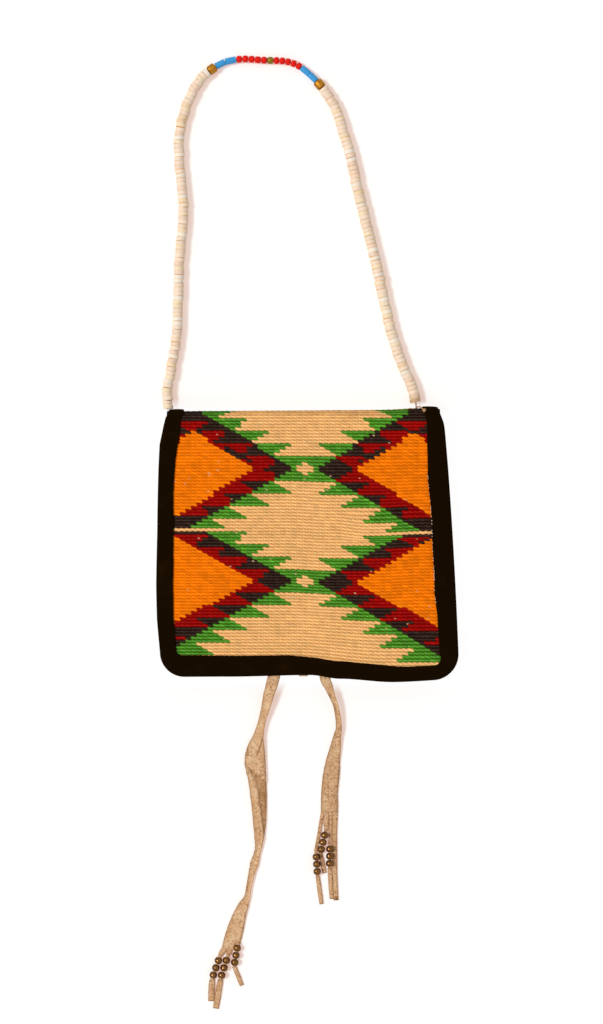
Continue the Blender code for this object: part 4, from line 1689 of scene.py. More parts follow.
@dataclass(frozen=True)
class BeadShape:
    """A bored bead's sizes."""

    length: float
    radius: float
    bore: float = 0.0008
    round_share: float = 0.35
    sides: int = 24

    def template(self, name: str, finish: bpy.types.Material) -> bpy.types.Object:
        """Model the bead along Z at the origin.

        Args:
            name: The object's name.
            finish: Its material.

        Returns:
            The bead.
        """
        choose()
        bpy.ops.mesh.primitive_cylinder_add(
            vertices=self.sides, radius=self.radius, depth=self.length, end_fill_type="NGON"
        )
        item = bpy.context.active_object
        item.name = name
        item.data.name = name
        bpy.ops.object.mode_set(mode="EDIT")
        bm = bmesh.from_edit_mesh(item.data)
        bpy.context.tool_settings.mesh_select_mode = (False, False, True)
        for face in bm.faces:
            face.select_set(abs(face.normal.z) > 0.9)
        bmesh.update_edit_mesh(item.data)
        bpy.ops.mesh.inset(thickness=self.radius - self.bore, use_individual=True)
        bpy.ops.mesh.bridge_edge_loops()
        bpy.ops.mesh.select_all(action="DESELECT")
        bpy.context.tool_settings.mesh_select_mode = (False, True, False)
        bm = bmesh.from_edit_mesh(item.data)
        for edge in bm.edges:
            ends = [vert.co for vert in edge.verts]
            rim = all(vert.xy.length > self.radius * 0.98 for vert in ends)
            edge.select_set(rim and abs(ends[0].z - ends[1].z) < 1e-7)
        bmesh.update_edit_mesh(item.data)
        offset = min(self.length, self.radius) * self.round_share
        bpy.ops.mesh.bevel(offset=offset, segments=4, affect="EDGES")
        bpy.ops.mesh.select_all(action="SELECT")
        bpy.ops.mesh.normals_make_consistent(inside=False)
        bpy.ops.object.mode_set(mode="OBJECT")
        item.data.materials.append(finish)
        bpy.ops.object.shade_smooth_by_angle(angle=math.radians(50))
        item.select_set(False)
        return item


def placed_copy(
    template: bpy.types.Object, name: str, centre: Vector, axis: Vector, spin: float = 0.0,
    stretch: float = 1.0,
) -> bpy.types.Object:
    """Copy a bead with its own mesh, and put its place in the mesh.

    Args:
        template: The bead along Z.
        name: The copy's name.
        centre: Where it goes.
        axis: The way its bore points.
        spin: Its turn about the bore.
        stretch: Its length against the template's.

    Returns:
        The copy, at the origin.
    """
    item = template.copy()
    item.data = template.data.copy()
    item.name = name
    item.data.name = name
    bpy.context.scene.collection.objects.link(item)
    turn = axis.normalized().to_track_quat("Z", "Y").to_matrix().to_4x4()
    item.data.transform(
        Matrix.Translation(centre) @ turn @ Matrix.Rotation(spin, 4, "Z")
        @ Matrix.Diagonal((1, 1, stretch, 1))
    )
    return item


def drop(item: bpy.types.Object) -> None:
    """Remove a template once its copies are made.

    Args:
        item: The template.
    """
    mesh = item.data
    bpy.data.objects.remove(item, do_unlink=True)
    bpy.data.meshes.remove(mesh)


# Strap

STRAP_ROUTE: List[Place] = [
    (-0.1043, 0.1008, 0.0040), (-0.1043, 0.1148, 0.0040), (-0.1021, 0.1283, 0.0040),
    (-0.0991, 0.1433, 0.0040), (-0.0971, 0.1635, 0.0040), (-0.0965, 0.1823, 0.0040),
    (-0.0961, 0.2010, 0.0040), (-0.0947, 0.2235, 0.0040), (-0.0926, 0.2483, 0.0040),
    (-0.0934, 0.2648, 0.0040), (-0.0957, 0.2850, 0.0040), (-0.0959, 0.3023, 0.0040),
    (-0.0941, 0.3158, 0.0040), (-0.0896, 0.3308, 0.0040), (-0.0818, 0.3458, 0.0040),
    (-0.0750, 0.3535, 0.0041), (-0.0652, 0.3604, 0.0035), (-0.0560, 0.3634, 0.0028),
    (-0.0456, 0.3643, 0.0028), (-0.0360, 0.3635, 0.0028), (-0.0271, 0.3631, 0.0028),
    (-0.0178, 0.3628, 0.0028), (-0.0097, 0.3609, 0.0028), (-0.0030, 0.3572, 0.0028),
    (0.0040, 0.3511, 0.0034), (0.0100, 0.3448, 0.0040), (0.0155, 0.3375, 0.0040),
    (0.0218, 0.3270, 0.0040), (0.0268, 0.3128, 0.0040), (0.0331, 0.2903, 0.0040),
    (0.0383, 0.2678, 0.0040), (0.0435, 0.2453, 0.0040), (0.0495, 0.2228, 0.0040),
    (0.0547, 0.2003, 0.0040), (0.0592, 0.1778, 0.0040), (0.0648, 0.1553, 0.0040),
    (0.0727, 0.1328, 0.0041), (0.0789, 0.1185, 0.0042), (0.0823, 0.1058, 0.0042),
]
TOP_BEADS: List[Tuple[str, float, float]] = [
    ("brass_bead_left", 0.0066, 0.0036),
    ("blue_bead_1", 0.0080, 0.0025), ("blue_bead_2", 0.0086, 0.0025),
    *[(f"red_bead_{i}", 0.0047, 0.0027) for i in range(1, 6)],
    ("centre_bead", 0.0048, 0.0027),
    *[(f"red_bead_{i}", 0.0044, 0.0027) for i in range(6, 11)],
    ("blue_bead_3", 0.0077, 0.0024), ("blue_bead_4", 0.0077, 0.0024),
    ("brass_bead_right", 0.0067, 0.0036),
]


@dataclass
class ShellStrap:
    """The strap: a cord through two legs of shell discs and a row of beads."""

    finishes: Finishes
    shape: BagShape = SHAPE
    cord_radius: float = 0.0005
    disc_radius: float = 0.0039
    disc_pitch: float = 0.00316
    left_leg: float = 0.2606
    gap: float = 0.0003
    knot_radius: float = 0.0011
    knot_turn: float = 37.0
    knot_drift: float = 0.0024
    knot_steps: int = 56
    end_turns: Tuple[float, ...] = (118.0, 100.0, 84.0, 70.0)
    end_drift: float = 0.00022
    disc_sides: int = 20
    swollen: float = 0.07
    stained: float = 0.4
    stains: Tuple[Color, Color] = (tone(255, 196, 88), tone(255, 226, 184))
    tints: Tuple[Tuple[float, Color], ...] = (
        (0.42, tone(255, 230, 208)), (0.66, tone(250, 220, 198)), (0.80, tone(255, 232, 198)),
        (0.96, tone(255, 243, 228)), (1.01, tone(250, 216, 178)),
    )
    end_tints: Tuple[Tuple[float, Color], ...] = (
        (0.994, tone(206, 168, 128)), (0.987, tone(232, 200, 168)),
    )

    def __post_init__(self) -> None:
        """Lay the route that every part of the strap follows."""
        self.route = Route(smooth_curve(STRAP_ROUTE, 12))
        self.beads_length = sum(length for _, length, _ in TOP_BEADS)

    def round_fold(self, x: float, ride: float, degrees: float) -> Vector:
        """Find a point at a distance from the top fold's axis.

        Args:
            x: Its place across the bag.
            ride: Its distance from the axis.
            degrees: Its turn from the fold's upper side.

        Returns:
            The point.
        """
        turn = math.radians(degrees)
        shape = self.shape
        return Vector((x, shape.fold_y + ride * math.sin(turn),
                       shape.fold_z + ride * math.cos(turn)))

    def disc_profile(self, rng: Random, size: float) -> List[Tuple[float, float]]:
        """Draw one disc's profile, with rubbed rims.

        Args:
            rng: The random numbers.
            size: The disc's share of the usual radius.

        Returns:
            The radius and the height of each corner, in order.
        """
        radius = self.disc_radius * size * rng.uniform(0.955, 1.0)
        half = self.disc_pitch / 2 * rng.uniform(0.97, 1.0)
        worn = half * rng.uniform(0.12, 0.3)
        hole = self.cord_radius + self.gap
        return [
            (hole, half), (radius - worn * 0.6, half), (radius, half - worn * 1.3),
            (radius, -half + worn * 1.3), (radius - worn * 0.6, -half), (hole, -half),
        ]

    def tint(self, share: float, rng: Random) -> Color:
        """Choose one disc's colour.

        Args:
            share: Its share of the strap's length, from left to right.
            rng: The random numbers.

        Returns:
            The colour.
        """
        pick = rng.random()
        color = next(value for limit, value in self.tints if pick < limit)
        light = rng.uniform(0.93, 1.01)
        # the last two discs take darker brown tints towards the strap's end
        for limit, worn in self.end_tints:
            if share > limit:
                return worn
        return tuple(channel * light for channel in color)

    def leg(self, name: str, node: str, start: float, stop: float, seed: int) -> Any:
        """Build one leg of separate shell discs.

        Args:
            name: The piece's name.
            node: The CAD node that it stands for.
            start: Where it starts along the route.
            stop: Where it ends.
            seed: The random source's seed.

        Returns:
            Its object.
        """
        rng = Random(seed)
        count = round((stop - start) / self.disc_pitch)
        pitch = (stop - start) / count
        points: List[Vector] = []
        faces: List[Tuple[int, ...]] = []
        tints: List[Color] = []
        sides = self.disc_sides
        for index in range(count):
            middle = start + pitch * (index + 0.5)
            centre, axis = self.route.at(middle), self.route.heading(middle)
            share = middle / self.route.length
            stagger = 0.00022 + 0.0003 * (share < 0.08)
            side = axis.cross(Vector((0, 0, 1))).normalized()
            up = side.cross(axis)
            centre = centre + side * rng.gauss(0, stagger) + up * rng.uniform(0.0002, 0.0004)
            tilt = Matrix.Rotation(rng.gauss(0, 0.03), 3, up) @ Matrix.Rotation(
                rng.gauss(0, 0.02), 3, side
            )
            size = 1.0 + self.swollen * float(ramp(share, 0.6, 0.12))
            centre = centre + up * ((size - 1.0) * self.disc_radius)
            profile = self.disc_profile(rng, size)
            spin = rng.uniform(0, math.tau)
            oval = rng.uniform(-0.02, 0.02)
            base = len(points)
            for radius, height in profile:
                for k in range(sides):
                    angle = spin + math.tau * k / sides
                    reach = radius * (1 + oval * math.cos(2 * angle))
                    spread = side * math.cos(angle) * reach + up * math.sin(angle) * reach
                    points.append(centre + tilt @ (spread + axis * height))
            rows = len(profile)
            for j in range(rows):
                for k in range(sides):
                    m, n = (k + 1) % sides, (j + 1) % rows
                    around = ((j, k), (j, m), (n, m), (n, k))
                    faces.append(tuple(base + row * sides + place for row, place in around))
            tint = self.tint(share, rng)
            stain = self.stains[0 if rng.random() < self.stained else 1]
            for ring in range(rows):
                tints += [tint if ring in (2, 3) else stain] * sides
        item = mesh_piece(name, points, faces, self.finishes.shell)
        paint(item, "tint", tints, "POINT")
        outward(item)
        choose(item)
        bpy.ops.object.shade_smooth_by_angle(angle=math.radians(35))
        item.select_set(False)
        declare(item, "shell", node)
        return item

    def beads(self) -> List[bpy.types.Object]:
        """Thread the glass and metal beads across the top.

        Returns:
            The beads.
        """
        joints = [self.route.at(self.left_leg)]
        place = self.left_leg
        for _, length, _ in TOP_BEADS:
            place += length
            joints.append(self.route.at(place))
        spans = [second - first for first, second in zip(joints, joints[1:])]
        kinds = {
            "brass": (self.finishes.brass, "brass", 0.30),
            "blue": (self.finishes.blue, "blue_glass", 0.10),
            "red": (self.finishes.red, "red_glass", 0.62),
            "centre": (self.finishes.olive, "olive_brass", 0.62),
        }
        made = []
        rng = Random(23)
        for i, (name, _, radius) in enumerate(TOP_BEADS):
            near = spans[max(0, i - 1):i + 2]
            bend = max(spans[i].angle(span) for span in near)
            room = self.gap * 0.3 + radius * math.tan(bend / 2)
            finish, slot, roundness = kinds[name.split("_")[0]]
            bead = BeadShape(spans[i].length - room, radius, round_share=roundness)
            template = bead.template("bead_pattern", finish)
            item = placed_copy(
                template, f"{name}_dressed", (joints[i] + joints[i + 1]) / 2, spans[i],
                rng.uniform(0, math.tau),
            )
            drop(template)
            declare(item, slot, name)
            made.append(item)
        return made

    def knot_loop(self, turn: float) -> Vector:
        """Find a place on the knot's three-lobed loop.

        Args:
            turn: The angle round the loop in radians.

        Returns:
            The place, seen from the loop's middle.
        """
        return Vector((
            math.sin(turn) + 2 * math.sin(2 * turn), math.cos(turn) - 2 * math.cos(2 * turn),
            -1.1 * math.sin(3 * turn),
        )) * (self.knot_radius * 0.36 * 0.85)

    def knot(self, centre: Vector) -> bpy.types.Object:
        """Tie the small knot on the flap.

        Args:
            centre: The knot's middle.

        Returns:
            The piece.
        """
        rings = []
        for i in range(self.knot_steps):
            turn = math.tau * i / self.knot_steps
            loop = self.knot_loop(turn)
            forward = self.knot_loop(turn + 0.01) - loop
            side = forward.cross(Vector((0, 0, 1))).normalized()
            up = side.cross(forward).normalized()
            rings.append([
                centre + loop + (side * math.cos(a) + up * math.sin(a)) * self.cord_radius
                for a in (math.tau * k / 10 for k in range(10))
            ])
        points, faces = swept(rings + [rings[0]])
        item = mesh_piece("strap_knot_tied", points, faces[:-2], self.finishes.sinew)
        outward(item)
        declare(item, "cord", "strap_knot")
        return item

    def sinew(self, line: Sequence[Any]) -> bpy.types.Object:
        """Lay the cord.

        Args:
            line: The points that it runs through.

        Returns:
            The piece.
        """
        curve = bpy.data.curves.new("strap_sinew", "CURVE")
        curve.dimensions = "3D"
        curve.bevel_depth = self.cord_radius
        curve.bevel_resolution = 3
        curve.use_fill_caps = True
        spline = curve.splines.new("POLY")
        spline.points.add(len(line) - 1)
        for place, point in zip(spline.points, line):
            place.co = (*point, 1.0)
        curve.materials.append(self.finishes.sinew)
        item = bpy.data.objects.new("strap_sinew", curve)
        bpy.context.scene.collection.objects.link(item)
        return item

    def build(self) -> None:
        """Build the whole strap and declare its cord."""
        right_start = self.left_leg + self.beads_length + self.gap
        legs = [
            self.leg("shell_discs_left", "strap_shells_left", 0.0,
                     self.left_leg - self.gap, 31),
            self.leg("shell_discs_right", "strap_shells_right", right_start,
                     self.route.length, 47),
        ]
        beads = self.beads()
        shape, gap = self.shape, Vector((0.0, self.gap, 0.0))
        left, right = self.route.at(0.0) - gap, self.route.at(self.route.length) - gap
        seam = Vector((left.x, shape.fold_y + shape.outer_radius + self.gap,
                       left.z - 2 * self.cord_radius))
        ride = shape.outer_radius + 2 * self.gap + self.cord_radius
        over = [right] + [
            self.round_fold(right.x + i * i * self.end_drift, ride, degrees)
            for i, degrees in enumerate(self.end_turns, start=1)
        ]
        knot_ride = shape.outer_radius + self.gap + self.knot_radius
        over.append(self.round_fold(over[-1].x + self.knot_drift, knot_ride, self.knot_turn))
        knot = self.knot(over[-1])
        line = [seam, left, *smooth_curve(STRAP_ROUTE, 4)[1:-1], *over]
        item = self.sinew(line)
        length = sum((Vector(b) - Vector(a)).length for a, b in zip(line, line[1:]))
        declare(item, "cord", "strap_cord", "strap_cord_end_left", "strap_cord_end_right")
        2 * self.cord_radius
        LOG.info("strap cord is %.3f m long", length)


# Hide tie


@dataclass(frozen=True)
class Strand:
    """One cut strand of a thong.

    Its lane is the part of the uncut run that it takes, from -1 at the left edge to 1 at the
    right. A strand without beads passes through its way points instead.
    """

    lane: Tuple[float, float]
    tip: Place
    tail: float
    first: Optional[Place] = None
    last: Optional[Place] = None
    way: Tuple[Place, ...] = ()


LONG_TOP: List[Place] = [
    (-0.0075, 0.0880, 0.0090), (-0.0125, 0.0580, 0.0095), (-0.0190, 0.0260, 0.0096),
]
LONG_RUN: List[Place] = [
    (-0.0246, -0.0008, 0.0092), (-0.0280, -0.0128, 0.0083), (-0.0315, -0.0266, 0.0063),
    (-0.0334, -0.0334, 0.0056), (-0.0350, -0.0402, 0.0065), (-0.0364, -0.0462, 0.0083),
    (-0.0377, -0.0523, 0.0121), (-0.0385, -0.0583, 0.0146), (-0.0388, -0.0643, 0.0157),
    (-0.0382, -0.0703, 0.0151), (-0.0371, -0.0786, 0.0136), (-0.0359, -0.0944, 0.0118),
    (-0.0354, -0.1072, 0.0102), (-0.0355, -0.1200, 0.0078), (-0.0362, -0.1291, 0.0053),
    (-0.0376, -0.1351, 0.0050), (-0.0392, -0.1411, 0.0063), (-0.0412, -0.1487, 0.0050),
    (-0.0433, -0.1585, 0.0041), (-0.0448, -0.1667, 0.0045), (-0.0474, -0.1728, 0.0077),
    (-0.0501, -0.1795, 0.0095), (-0.0522, -0.1863, 0.0114), (-0.0544, -0.1939, 0.0125),
    (-0.0566, -0.2021, 0.0127), (-0.0576, -0.2062, 0.0127),
]
SHORT_TOP: List[Place] = [
    (0.0040, 0.0880, 0.0080), (0.0062, 0.0580, 0.0080), (0.0100, 0.0260, 0.0080),
]
SHORT_RUN: List[Place] = [
    (0.0139, -0.0008, 0.0079), (0.0165, -0.0076, 0.0066), (0.0190, -0.0143, 0.0049),
    (0.0220, -0.0221, 0.0041), (0.0237, -0.0312, 0.0042), (0.0243, -0.0394, 0.0045),
    (0.0233, -0.0447, 0.0057), (0.0222, -0.0515, 0.0074), (0.0212, -0.0575, 0.0090),
    (0.0199, -0.0643, 0.0105), (0.0191, -0.0711, 0.0121), (0.0182, -0.0786, 0.0125),
    (0.0173, -0.0884, 0.0125), (0.0173, -0.0967, 0.0128), (0.0172, -0.1027, 0.0128),
]
LONG_STRANDS: List[Strand] = [
    Strand((-1.0, -0.34), (-0.0718, -0.2452), 0.0048, (-0.0663, -0.2143), (-0.0701, -0.2252)),
    Strand((-0.34, 0.34), (-0.0683, -0.2507), 0.0046, (-0.0603, -0.2142), (-0.0638, -0.2254)),
    Strand((0.34, 1.0), (-0.0487, -0.2334), 0.0033, (-0.0522, -0.2050), (-0.0540, -0.2158)),
]
SHORT_STRANDS: List[Strand] = [
    Strand((-1.0, -0.58), (0.0113, -0.1721), 0.0033, (0.0074, -0.1364), (0.0081, -0.1473)),
    Strand((-0.58, 0.0), (0.0136, -0.1487), 0.0034, (0.0137, -0.1200), (0.0111, -0.1306)),
    Strand((0.0, 0.40), (0.0190, -0.1682), 0.0034, (0.0176, -0.1304), (0.0174, -0.1412)),
    Strand((0.40, 1.0), (0.0222, -0.1692), 0.0036,
           way=((0.0212, -0.1200), (0.0213, -0.1389), (0.0214, -0.1502))),
]


@dataclass
class HideTie:
    """The tie: two hide thongs that end in beaded strands, and a short tab."""

    finishes: Finishes
    lower_edge: float = -0.1000
    thickness: float = 0.0011
    bead_radius: float = 0.0028
    bead_length: float = 0.0050
    table: float = 0.0001
    waist: float = 0.0024
    over_pouch: Place = (0.0060, 0.0102)
    slope: Place = (0.0145, 0.0495)
    ledge: float = 0.002
    landing: float = 0.066
    bead_gap: float = 0.0001
    spread: float = 0.0022
    shade_left: Table = (
        (0.062, 0.074, 0.082, 0.094, 0.106, 0.119, 0.125),
        (-1.1, -0.57, -0.14, -0.05, 0.23, 0.65, 1.2),
    )
    shade_upper: Table = (
        (0.062, 0.064, 0.069, 0.075, 0.080, 0.082), (-1.4, -1.0, -0.3, 0.37, 1.0, 1.6),
    )
    crease: Table = ((0.0463, 0.0590), (0.8, 0.2))

    def low(self, y: float) -> float:
        """Find the underside's height on the pouch, over its binding or on the table.

        Args:
            y: A place along the bag.

        Returns:
            The height.
        """
        start, stop = (self.lower_edge + place for place in self.slope)
        if y > start:
            return mix(*self.over_pouch, min(1.0, (y - start) / (stop - start)))
        landing = self.lower_edge - self.landing
        ledge = self.lower_edge - self.ledge
        share = float(smooth((y - landing) / (ledge - landing)))
        return mix(self.table, self.over_pouch[0], share)

    def from_edge(self, place: Place) -> Place:
        """Turn a place over the flap's lower edge into a place in the bag's frame."""
        return (place[0], self.lower_edge + place[1], *place[2:])

    def ribbon(
        self, name: str, curve: Sequence[Any], lift: Callable[[int, float], float],
        mark: Callable[[int, float], Tuple[float, float, float]], across: int = 8,
        low: Optional[List[float]] = None,
    ) -> bpy.types.Object:
        """Build a strip of hide along a curve on the table's plane.

        Args:
            name: The piece's name.
            curve: x, y and width at each place.
            lift: The rise of the strip at a place and a share across, from -1 to 1.
            mark: How rough, how dark and how wrinkled the hide is there, from 0 to 1.
            across: How many faces across.
            low: The underside's height at each place, or none to follow the bag and table.

        Returns:
            The object.
        """
        rings, marks = [], []
        for i, (x, y, width) in enumerate(curve):
            before, after = curve[max(0, i - 1)], curve[min(len(curve) - 1, i + 1)]
            heading = Vector((after[0] - before[0], after[1] - before[1], 0)).normalized()
            side = Vector((-heading.y, heading.x, 0.0))
            thick = self.thickness
            base = low[i] if low else self.low(y)
            top, under = [], []
            for k in range(across + 1):
                share = 2 * k / across - 1
                rag = 1 + 0.05 * noise.noise(Vector((i * 0.35, share * 3, len(name))))
                spot = Vector((x, y, 0.0)) + side * (share * width / 2 * rag)
                height = base + lift(i, share)
                edge = 0.25 * thick * abs(share) ** 6
                top.append((spot + Vector((0, 0, height + thick - edge)), share))
                under.append((spot + Vector((0, 0, height + edge)), share))
            ring = top + under[::-1]
            rings.append([point for point, _ in ring])
            marks += [mark(i, share) for _, share in ring]
        points, faces = swept(rings)
        item = mesh_piece(name, points, faces, self.finishes.hide)
        paint(item, "hide_marks", marks, "POINT")
        outward(item)
        declare(item, "hide")
        return item

    def thong(
        self, name: str, node: str, prefix: str, places: Sequence[Place],
        strands: Sequence[Strand], folded: bool,
    ) -> None:
        """Args:
            name: The uncut run's name.
            node: The CAD node that it stands for.
            prefix: How its beads' names start.
            places: Its centreline over the flap's lower edge, with widths.
            strands: Its cut strands.
            folded: Whether it folds over on its way, as the long one does.
        """
        curve = smooth_curve([self.from_edge(place) for place in places], 8)
        downs = [self.lower_edge - point[1] for point in curve]

        def flat_part(i: int, share: float) -> Tuple[float, float]:
            """Find how far a place lies in the fold's shaded part, and on its crease.

            Args:
                i: The place's number along the strip.
                share: Its share across, from -1 to 1.

            Returns:
                Both shares, from 0 to 1.
            """
            if not folded:
                return 0.0, 0.0
            down = downs[i]
            left, upper = (
                np.interp(down, *table) for table in (self.shade_left, self.shade_upper)
            )
            ragged = 0.3 * noise.noise(Vector((share * 3.0, down * 260, 2.0)))
            inside = smooth((share - left) / 0.16) * smooth((upper - share + ragged) / 0.5)
            line = np.interp(down, *self.crease)
            along = ramp(down, 0.044, 0.004) * (1 - ramp(down, 0.057, 0.006))
            return float(inside), float(along * max(0.0, 1 - abs(share - line) / 0.14))

        def lift(i: int, share: float) -> float:
            """Raise the strip by its curl, its fold and its wrinkles.

            Args:
                i: The place's number along the strip.
                share: Its share across, from -1 to 1.

            Returns:
                The rise in metres.
            """
            down = downs[i]
            wrinkle = noise.noise(Vector((share * 2.0, curve[i][1] * 620, len(prefix))))
            if down < 0.012:
                return 0.00008 * abs(wrinkle)
            width = curve[i][2]
            rise = 0.0016 * max(0.0, 0.012 - width) / 0.012 * share * share
            rise += (0.00022 if folded else 0.00030) * (wrinkle + 0.4)
            if folded:
                part, crease = flat_part(i, share)
                near = float(ramp(down, 0.040, 0.012) * (1 - ramp(down, 0.112, 0.02)))
                rise += 0.0012 * near * (1 - part) - 0.0008 * crease
            return max(0.0, rise)

        def mark(i: int, share: float) -> Tuple[float, float, float]:
            """Choose how rough, how dark and how wrinkled a place is.

            Args:
                i: The place's number along the strip.
                share: Its share across, from -1 to 1.

            Returns:
                The three shares.
            """
            down = downs[i]
            part, crease = flat_part(i, share)
            if folded:
                # painted shade: a dark band along the fold's rim and a dark line on the crease
                rim = part * max(0.0, 1 - abs(part - 0.6) / 0.35) * 0.5
                deep = 0.75 + 0.5 * noise.noise(Vector((share * 2.0, down * 150, 9.0)))
                return part * deep, max(abs(share) ** 7, crease * 1.3, rim), 0.45
            inside = float(ramp(down, 0.030, 0.015))
            return 0.04 + 0.06 * inside, abs(share) ** 5, 0.35 + 0.65 * inside

        item = self.ribbon(name, curve, lift, mark, 22)
        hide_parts(node)
        path = [(p[0], p[1], self.low(p[1]) + self.thickness / 2) for p in curve]
        rough = 0.12 if folded else 0.22
        ends = self.strands(f"{name}_strands", curve, strands, rough)
        beads = self.beads(prefix, [strand for strand in strands if strand.first])
        length = sum(math.dist(a, b) for a, b in zip(path, path[1:]))
        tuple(path[0])

    def strands(
        self, name: str, curve: Sequence[Any], strands: Sequence[Strand], rough: float
    ) -> bpy.types.Object:
        """Build the cut strands as one piece.

        Args:
            name: The piece's name.
            curve: The uncut run, whose end they start from.
            strands: The strands.
            rough: How far the rough side shows.

        Returns:
            The piece.
        """
        x, y, width = curve[-1]
        before = curve[-4]
        heading = Vector((x - before[0], y - before[1])).normalized()
        side = Vector((-heading.y, heading.x))
        made = []
        for k, strand in enumerate(strands):
            low, high = strand.lane
            lane = (high - low) / 2 * width
            start = Vector((x, y)) + side * ((low + high) / 2 * width / 2)
            tip = Vector(self.from_edge(strand.tip))
            entry = leave = line = None
            if strand.first:
                first = Vector(self.from_edge(strand.first))
                last = Vector(self.from_edge(strand.last))
                line, tail = (last - first).normalized(), (tip - last).normalized()
                clear = self.bead_length / 2 + self.bead_gap
                entry, leave = first - line * clear, last + line * clear
                spread = leave + tail * self.spread
                run = [
                    (*start, lane), (*start.lerp(entry, 0.5), lane),
                    (*(entry - line * self.spread), lane * 0.9),
                    (*entry, self.waist), (*leave, self.waist), (*spread, strand.tail * 0.92),
                    (*spread.lerp(tip, 0.6), strand.tail), (*tip, strand.tail * 0.9),
                ]
            else:
                way = [Vector(self.from_edge(place)) for place in strand.way]
                run = [(*start, lane), *((*place, strand.tail) for place in way),
                       (*tip, strand.tail)]
            points = smooth_curve(run, 6)
            raised = self.table + self.bead_radius - self.thickness / 2
            base = []
            for point in points:
                if entry is None:
                    base.append(self.table)
                    continue
                spot = Vector(point[:2])
                near = min(1.0, max(0.0, ((spot - entry).dot(line)) / 0.001 + 1))
                far = min(1.0, max(0.0, ((leave - spot).dot(line)) / 0.001 + 1))
                base.append(mix(self.table, raised, min(near, far)))
            nearby = [base[max(0, i - 2):i + 3] for i in range(len(base))]
            last_ring = len(points) - 1
            made.append(self.ribbon(
                f"{name}_{k}", points, lambda i, share: 0.0,
                lambda i, share, end=last_ring: (
                    rough, 1.0 if i == end else abs(share) ** 5 * min(1.0, i / 3), 0.5
                ),
                across=6, low=[sum(part) / len(part) for part in nearby],
            ))
        choose(*made)
        bpy.ops.object.join()
        made[0].name = name
        made[0].data.name = name
        made[0].select_set(False)
        return made[0]

    def beads(self, prefix: str, strands: Sequence[Strand]) -> List[bpy.types.Object]:
        """Thread three metal beads on each strand.

        Args:
            prefix: How their names start.
            strands: The strands that carry beads.

        Returns:
            The beads.
        """
        shape = BeadShape(self.bead_length - self.bead_gap, self.bead_radius, 0.0011, 0.72, 20)
        template = shape.template("tie_bead_pattern", self.finishes.bronze)
        rng = Random(5)
        made = []
        for k, strand in enumerate(strands, start=1):
            start, stop = (
                Vector((*self.from_edge(place), self.table + self.bead_radius))
                for place in (strand.first, strand.last)
            )
            for i in range(3):
                node = f"{prefix}_bead_{k}_{i + 1}"
                item = placed_copy(
                    template, f"{node}_dressed", start.lerp(stop, i / 2), stop - start,
                    rng.uniform(0, math.tau),
                )
                declare(item, "dark_bronze", node)
                made.append(item)
        drop(template)
        return made

    def tab(self) -> bpy.types.Object:
        """Build the short hide end that peeks out under the flap's edge.

        Returns:
            The piece.
        """
        x, top, tip, count = -0.0024, -0.0600, -0.1002, 16
        curve = [
            (x, mix(top, tip, i / count), 0.0062 + 0.0003 * math.sin(i * 1.7))
            for i in range(count + 1)
        ]
        item = self.ribbon("tie_tab_cut", curve, lambda i, share: 0.0,
                           lambda i, share: (0.1, abs(share) ** 5, 0.2), 6)
        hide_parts("tie_tab")
        return item

    def build(self) -> None:
        """Build both thongs and the tab."""
        self.thong("hide_thong_long", "tie_thong_long", "long", LONG_TOP + LONG_RUN,
                   LONG_STRANDS, True)
        self.thong("hide_thong_short", "tie_thong_short", "short", SHORT_TOP + SHORT_RUN,
                   SHORT_STRANDS, False)
        self.tab()


# Studio


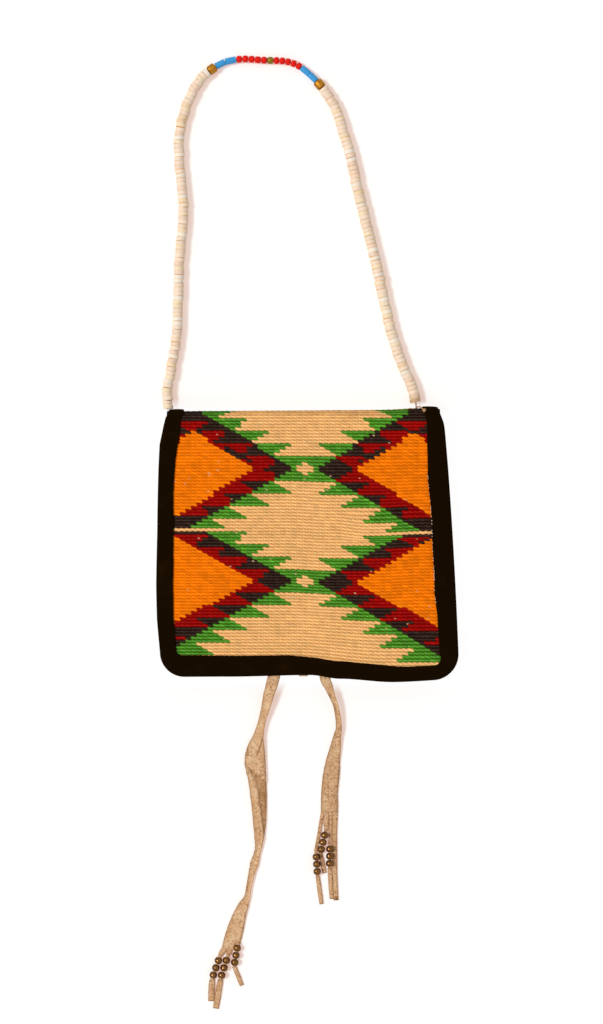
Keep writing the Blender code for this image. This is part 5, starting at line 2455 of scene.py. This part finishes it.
@dataclass
class Studio:
    """The table, the light and the camera."""

    lens: float = 120.0
    sensor: float = 36.0
    frame_height: float = 0.768
    middle: Tuple[float, float, float] = (-0.00375, 0.02325, 0.012)
    key: float = 1.66
    key_softness: float = 14.0
    key_color: Color = (1.0, 0.98, 0.95)
    key_from: Place = (-0.58, 0.05, 0.80)
    ambient: float = 0.48
    surround: Color = (1.0, 0.985, 0.97)
    white: Color = (1.0, 1.0, 1.0)
    table: Color = (0.82, 0.81, 0.80)
    # the second glow and shadow colours paint light beside the bag, washing its shadow out
    glow: Tuple[Color, Color] = ((0.55, 0.27, 0.19), (0.985, 0.97, 0.965))
    shadow: Tuple[Color, Color] = ((0.545, 0.86, 0.95), (0.03, 0.05, 0.06))
    table_size: float = 9.0
    table_drop: float = 0.0002

    def camera(self) -> None:
        """Hang the camera straight over the bag."""
        data = bpy.data.cameras.new("overhead_camera")
        data.sensor_fit = "AUTO"
        data.sensor_width = self.sensor
        data.lens = self.lens
        data.clip_end = 20.0
        item = bpy.data.objects.new("overhead_camera", data)
        x, y, z = self.middle
        item.location = (x, y, z + self.frame_height * self.lens / self.sensor)
        bpy.context.scene.collection.objects.link(item)
        bpy.context.scene.camera = item

    def lights(self) -> None:
        """Light the table softly from the left."""
        data = bpy.data.lights.new("key_light", "SUN")
        data.energy = self.key
        data.angle = math.radians(self.key_softness)
        data.color = self.key_color
        item = bpy.data.objects.new("key_light", data)
        item.rotation_mode = "QUATERNION"
        item.rotation_quaternion = Vector(self.key_from).to_track_quat("Z", "Y")
        bpy.context.scene.collection.objects.link(item)

    def show(self, net: Net, output: str, plain: bpy.types.Node, seen: bpy.types.Node) -> None:
        """Show one shader to rays of the camera, of gloss and of glass, another to the rest.

        Args:
            net: The node tree of the floor or the world.
            output: The type of its output node.
            plain: The shader that lights the bag.
            seen: The shader that is seen.
        """
        path = net.node("ShaderNodeLightPath")
        share = path.outputs["Is Camera Ray"]
        for name in ("Is Glossy Ray", "Is Transmission Ray"):
            share = net.math("MAXIMUM", share, path.outputs[name])
        pick = net.node("ShaderNodeMixShader", {}, {
            0: share, 1: plain.outputs[0], 2: seen.outputs[0],
        })
        net.node(output, {}, {0: pick.outputs[0]})

    def world(self) -> None:
        """Set a white surround that lights the object evenly."""
        world = bpy.data.worlds.new("studio_world")
        bpy.context.scene.world = world
        net = Net(world)
        net.nodes.clear()
        plain, seen = (
            net.node("ShaderNodeBackground", {}, {"Strength": strength, "Color": (*color, 1.0)})
            for strength, color in ((self.ambient, self.surround), (1.0, self.white))
        )
        self.show(net, "ShaderNodeOutputWorld", plain, seen)

    def floor(self) -> None:
        """Lay the white table top, which keeps a faint warm shadow; beside the bag, painted
        light on the table washes that shadow out.
        """
        choose()
        bpy.ops.mesh.primitive_plane_add(size=self.table_size, location=(0.0, 0.0, 0.0))
        item = bpy.context.active_object
        item.name = "table_top"
        item.data.transform(Matrix.Translation((0.0, 0.0, -self.table_drop)))
        item.select_set(False)
        net = Net(bpy.data.materials.new("table_white"))
        net.nodes.clear()
        share = self.painted_light_beside_bag(net)
        glow, shadowed = (
            net.node(kind, {}, {"Color": net.blend(share, *colors)})
            for kind, colors in (
                ("ShaderNodeEmission", self.glow), ("ShaderNodeBsdfDiffuse", self.shadow),
            )
        )
        both = net.node("ShaderNodeAddShader", {}, {0: glow.outputs[0], 1: shadowed.outputs[0]})
        plain = net.node("ShaderNodeBsdfDiffuse", {}, {"Color": (*self.table, 1.0)})
        self.show(net, "ShaderNodeOutputMaterial", plain, both)
        item.data.materials.append(net.owner)

    def painted_light_beside_bag(self, net: Net) -> Wire:
        """Return 1 beside the bag, where painted light washes its shadow out, and 0 beside the
        strap and the tie.
        """
        x, y, _ = net.split(net.place())
        return x.near_zero(0.170, 0.150) * (y + 0.0028).near_zero(0.1128, 0.1008)

    def build(self) -> None:
        """Set the table, the light and the camera, and the view's colours."""
        self.camera()
        self.lights()
        self.world()
        self.floor()
        bpy.context.scene.view_settings.view_transform = "Standard"


def main() -> None:
    """Build and dress every piece."""
    logging.basicConfig(level=logging.INFO, format="%(message)s")
    Studio().build()
    finishes = Finishes.make()
    ShellStrap(finishes).build()
    HideTie(finishes).build()
    flap_velvet = VelvetBinding(finishes, Edge.FLAP)
    for part in (
        TwinedSheet(finishes), PouchFront(finishes), flap_velvet,
        VelvetBinding(finishes, Edge.POUCH), EdgeSewing(flap_velvet),
    ):
        item = part.build()
        LOG.info("%s has %d faces", item.name, len(item.data.polygons))


if __name__ == "__main__":
    main()
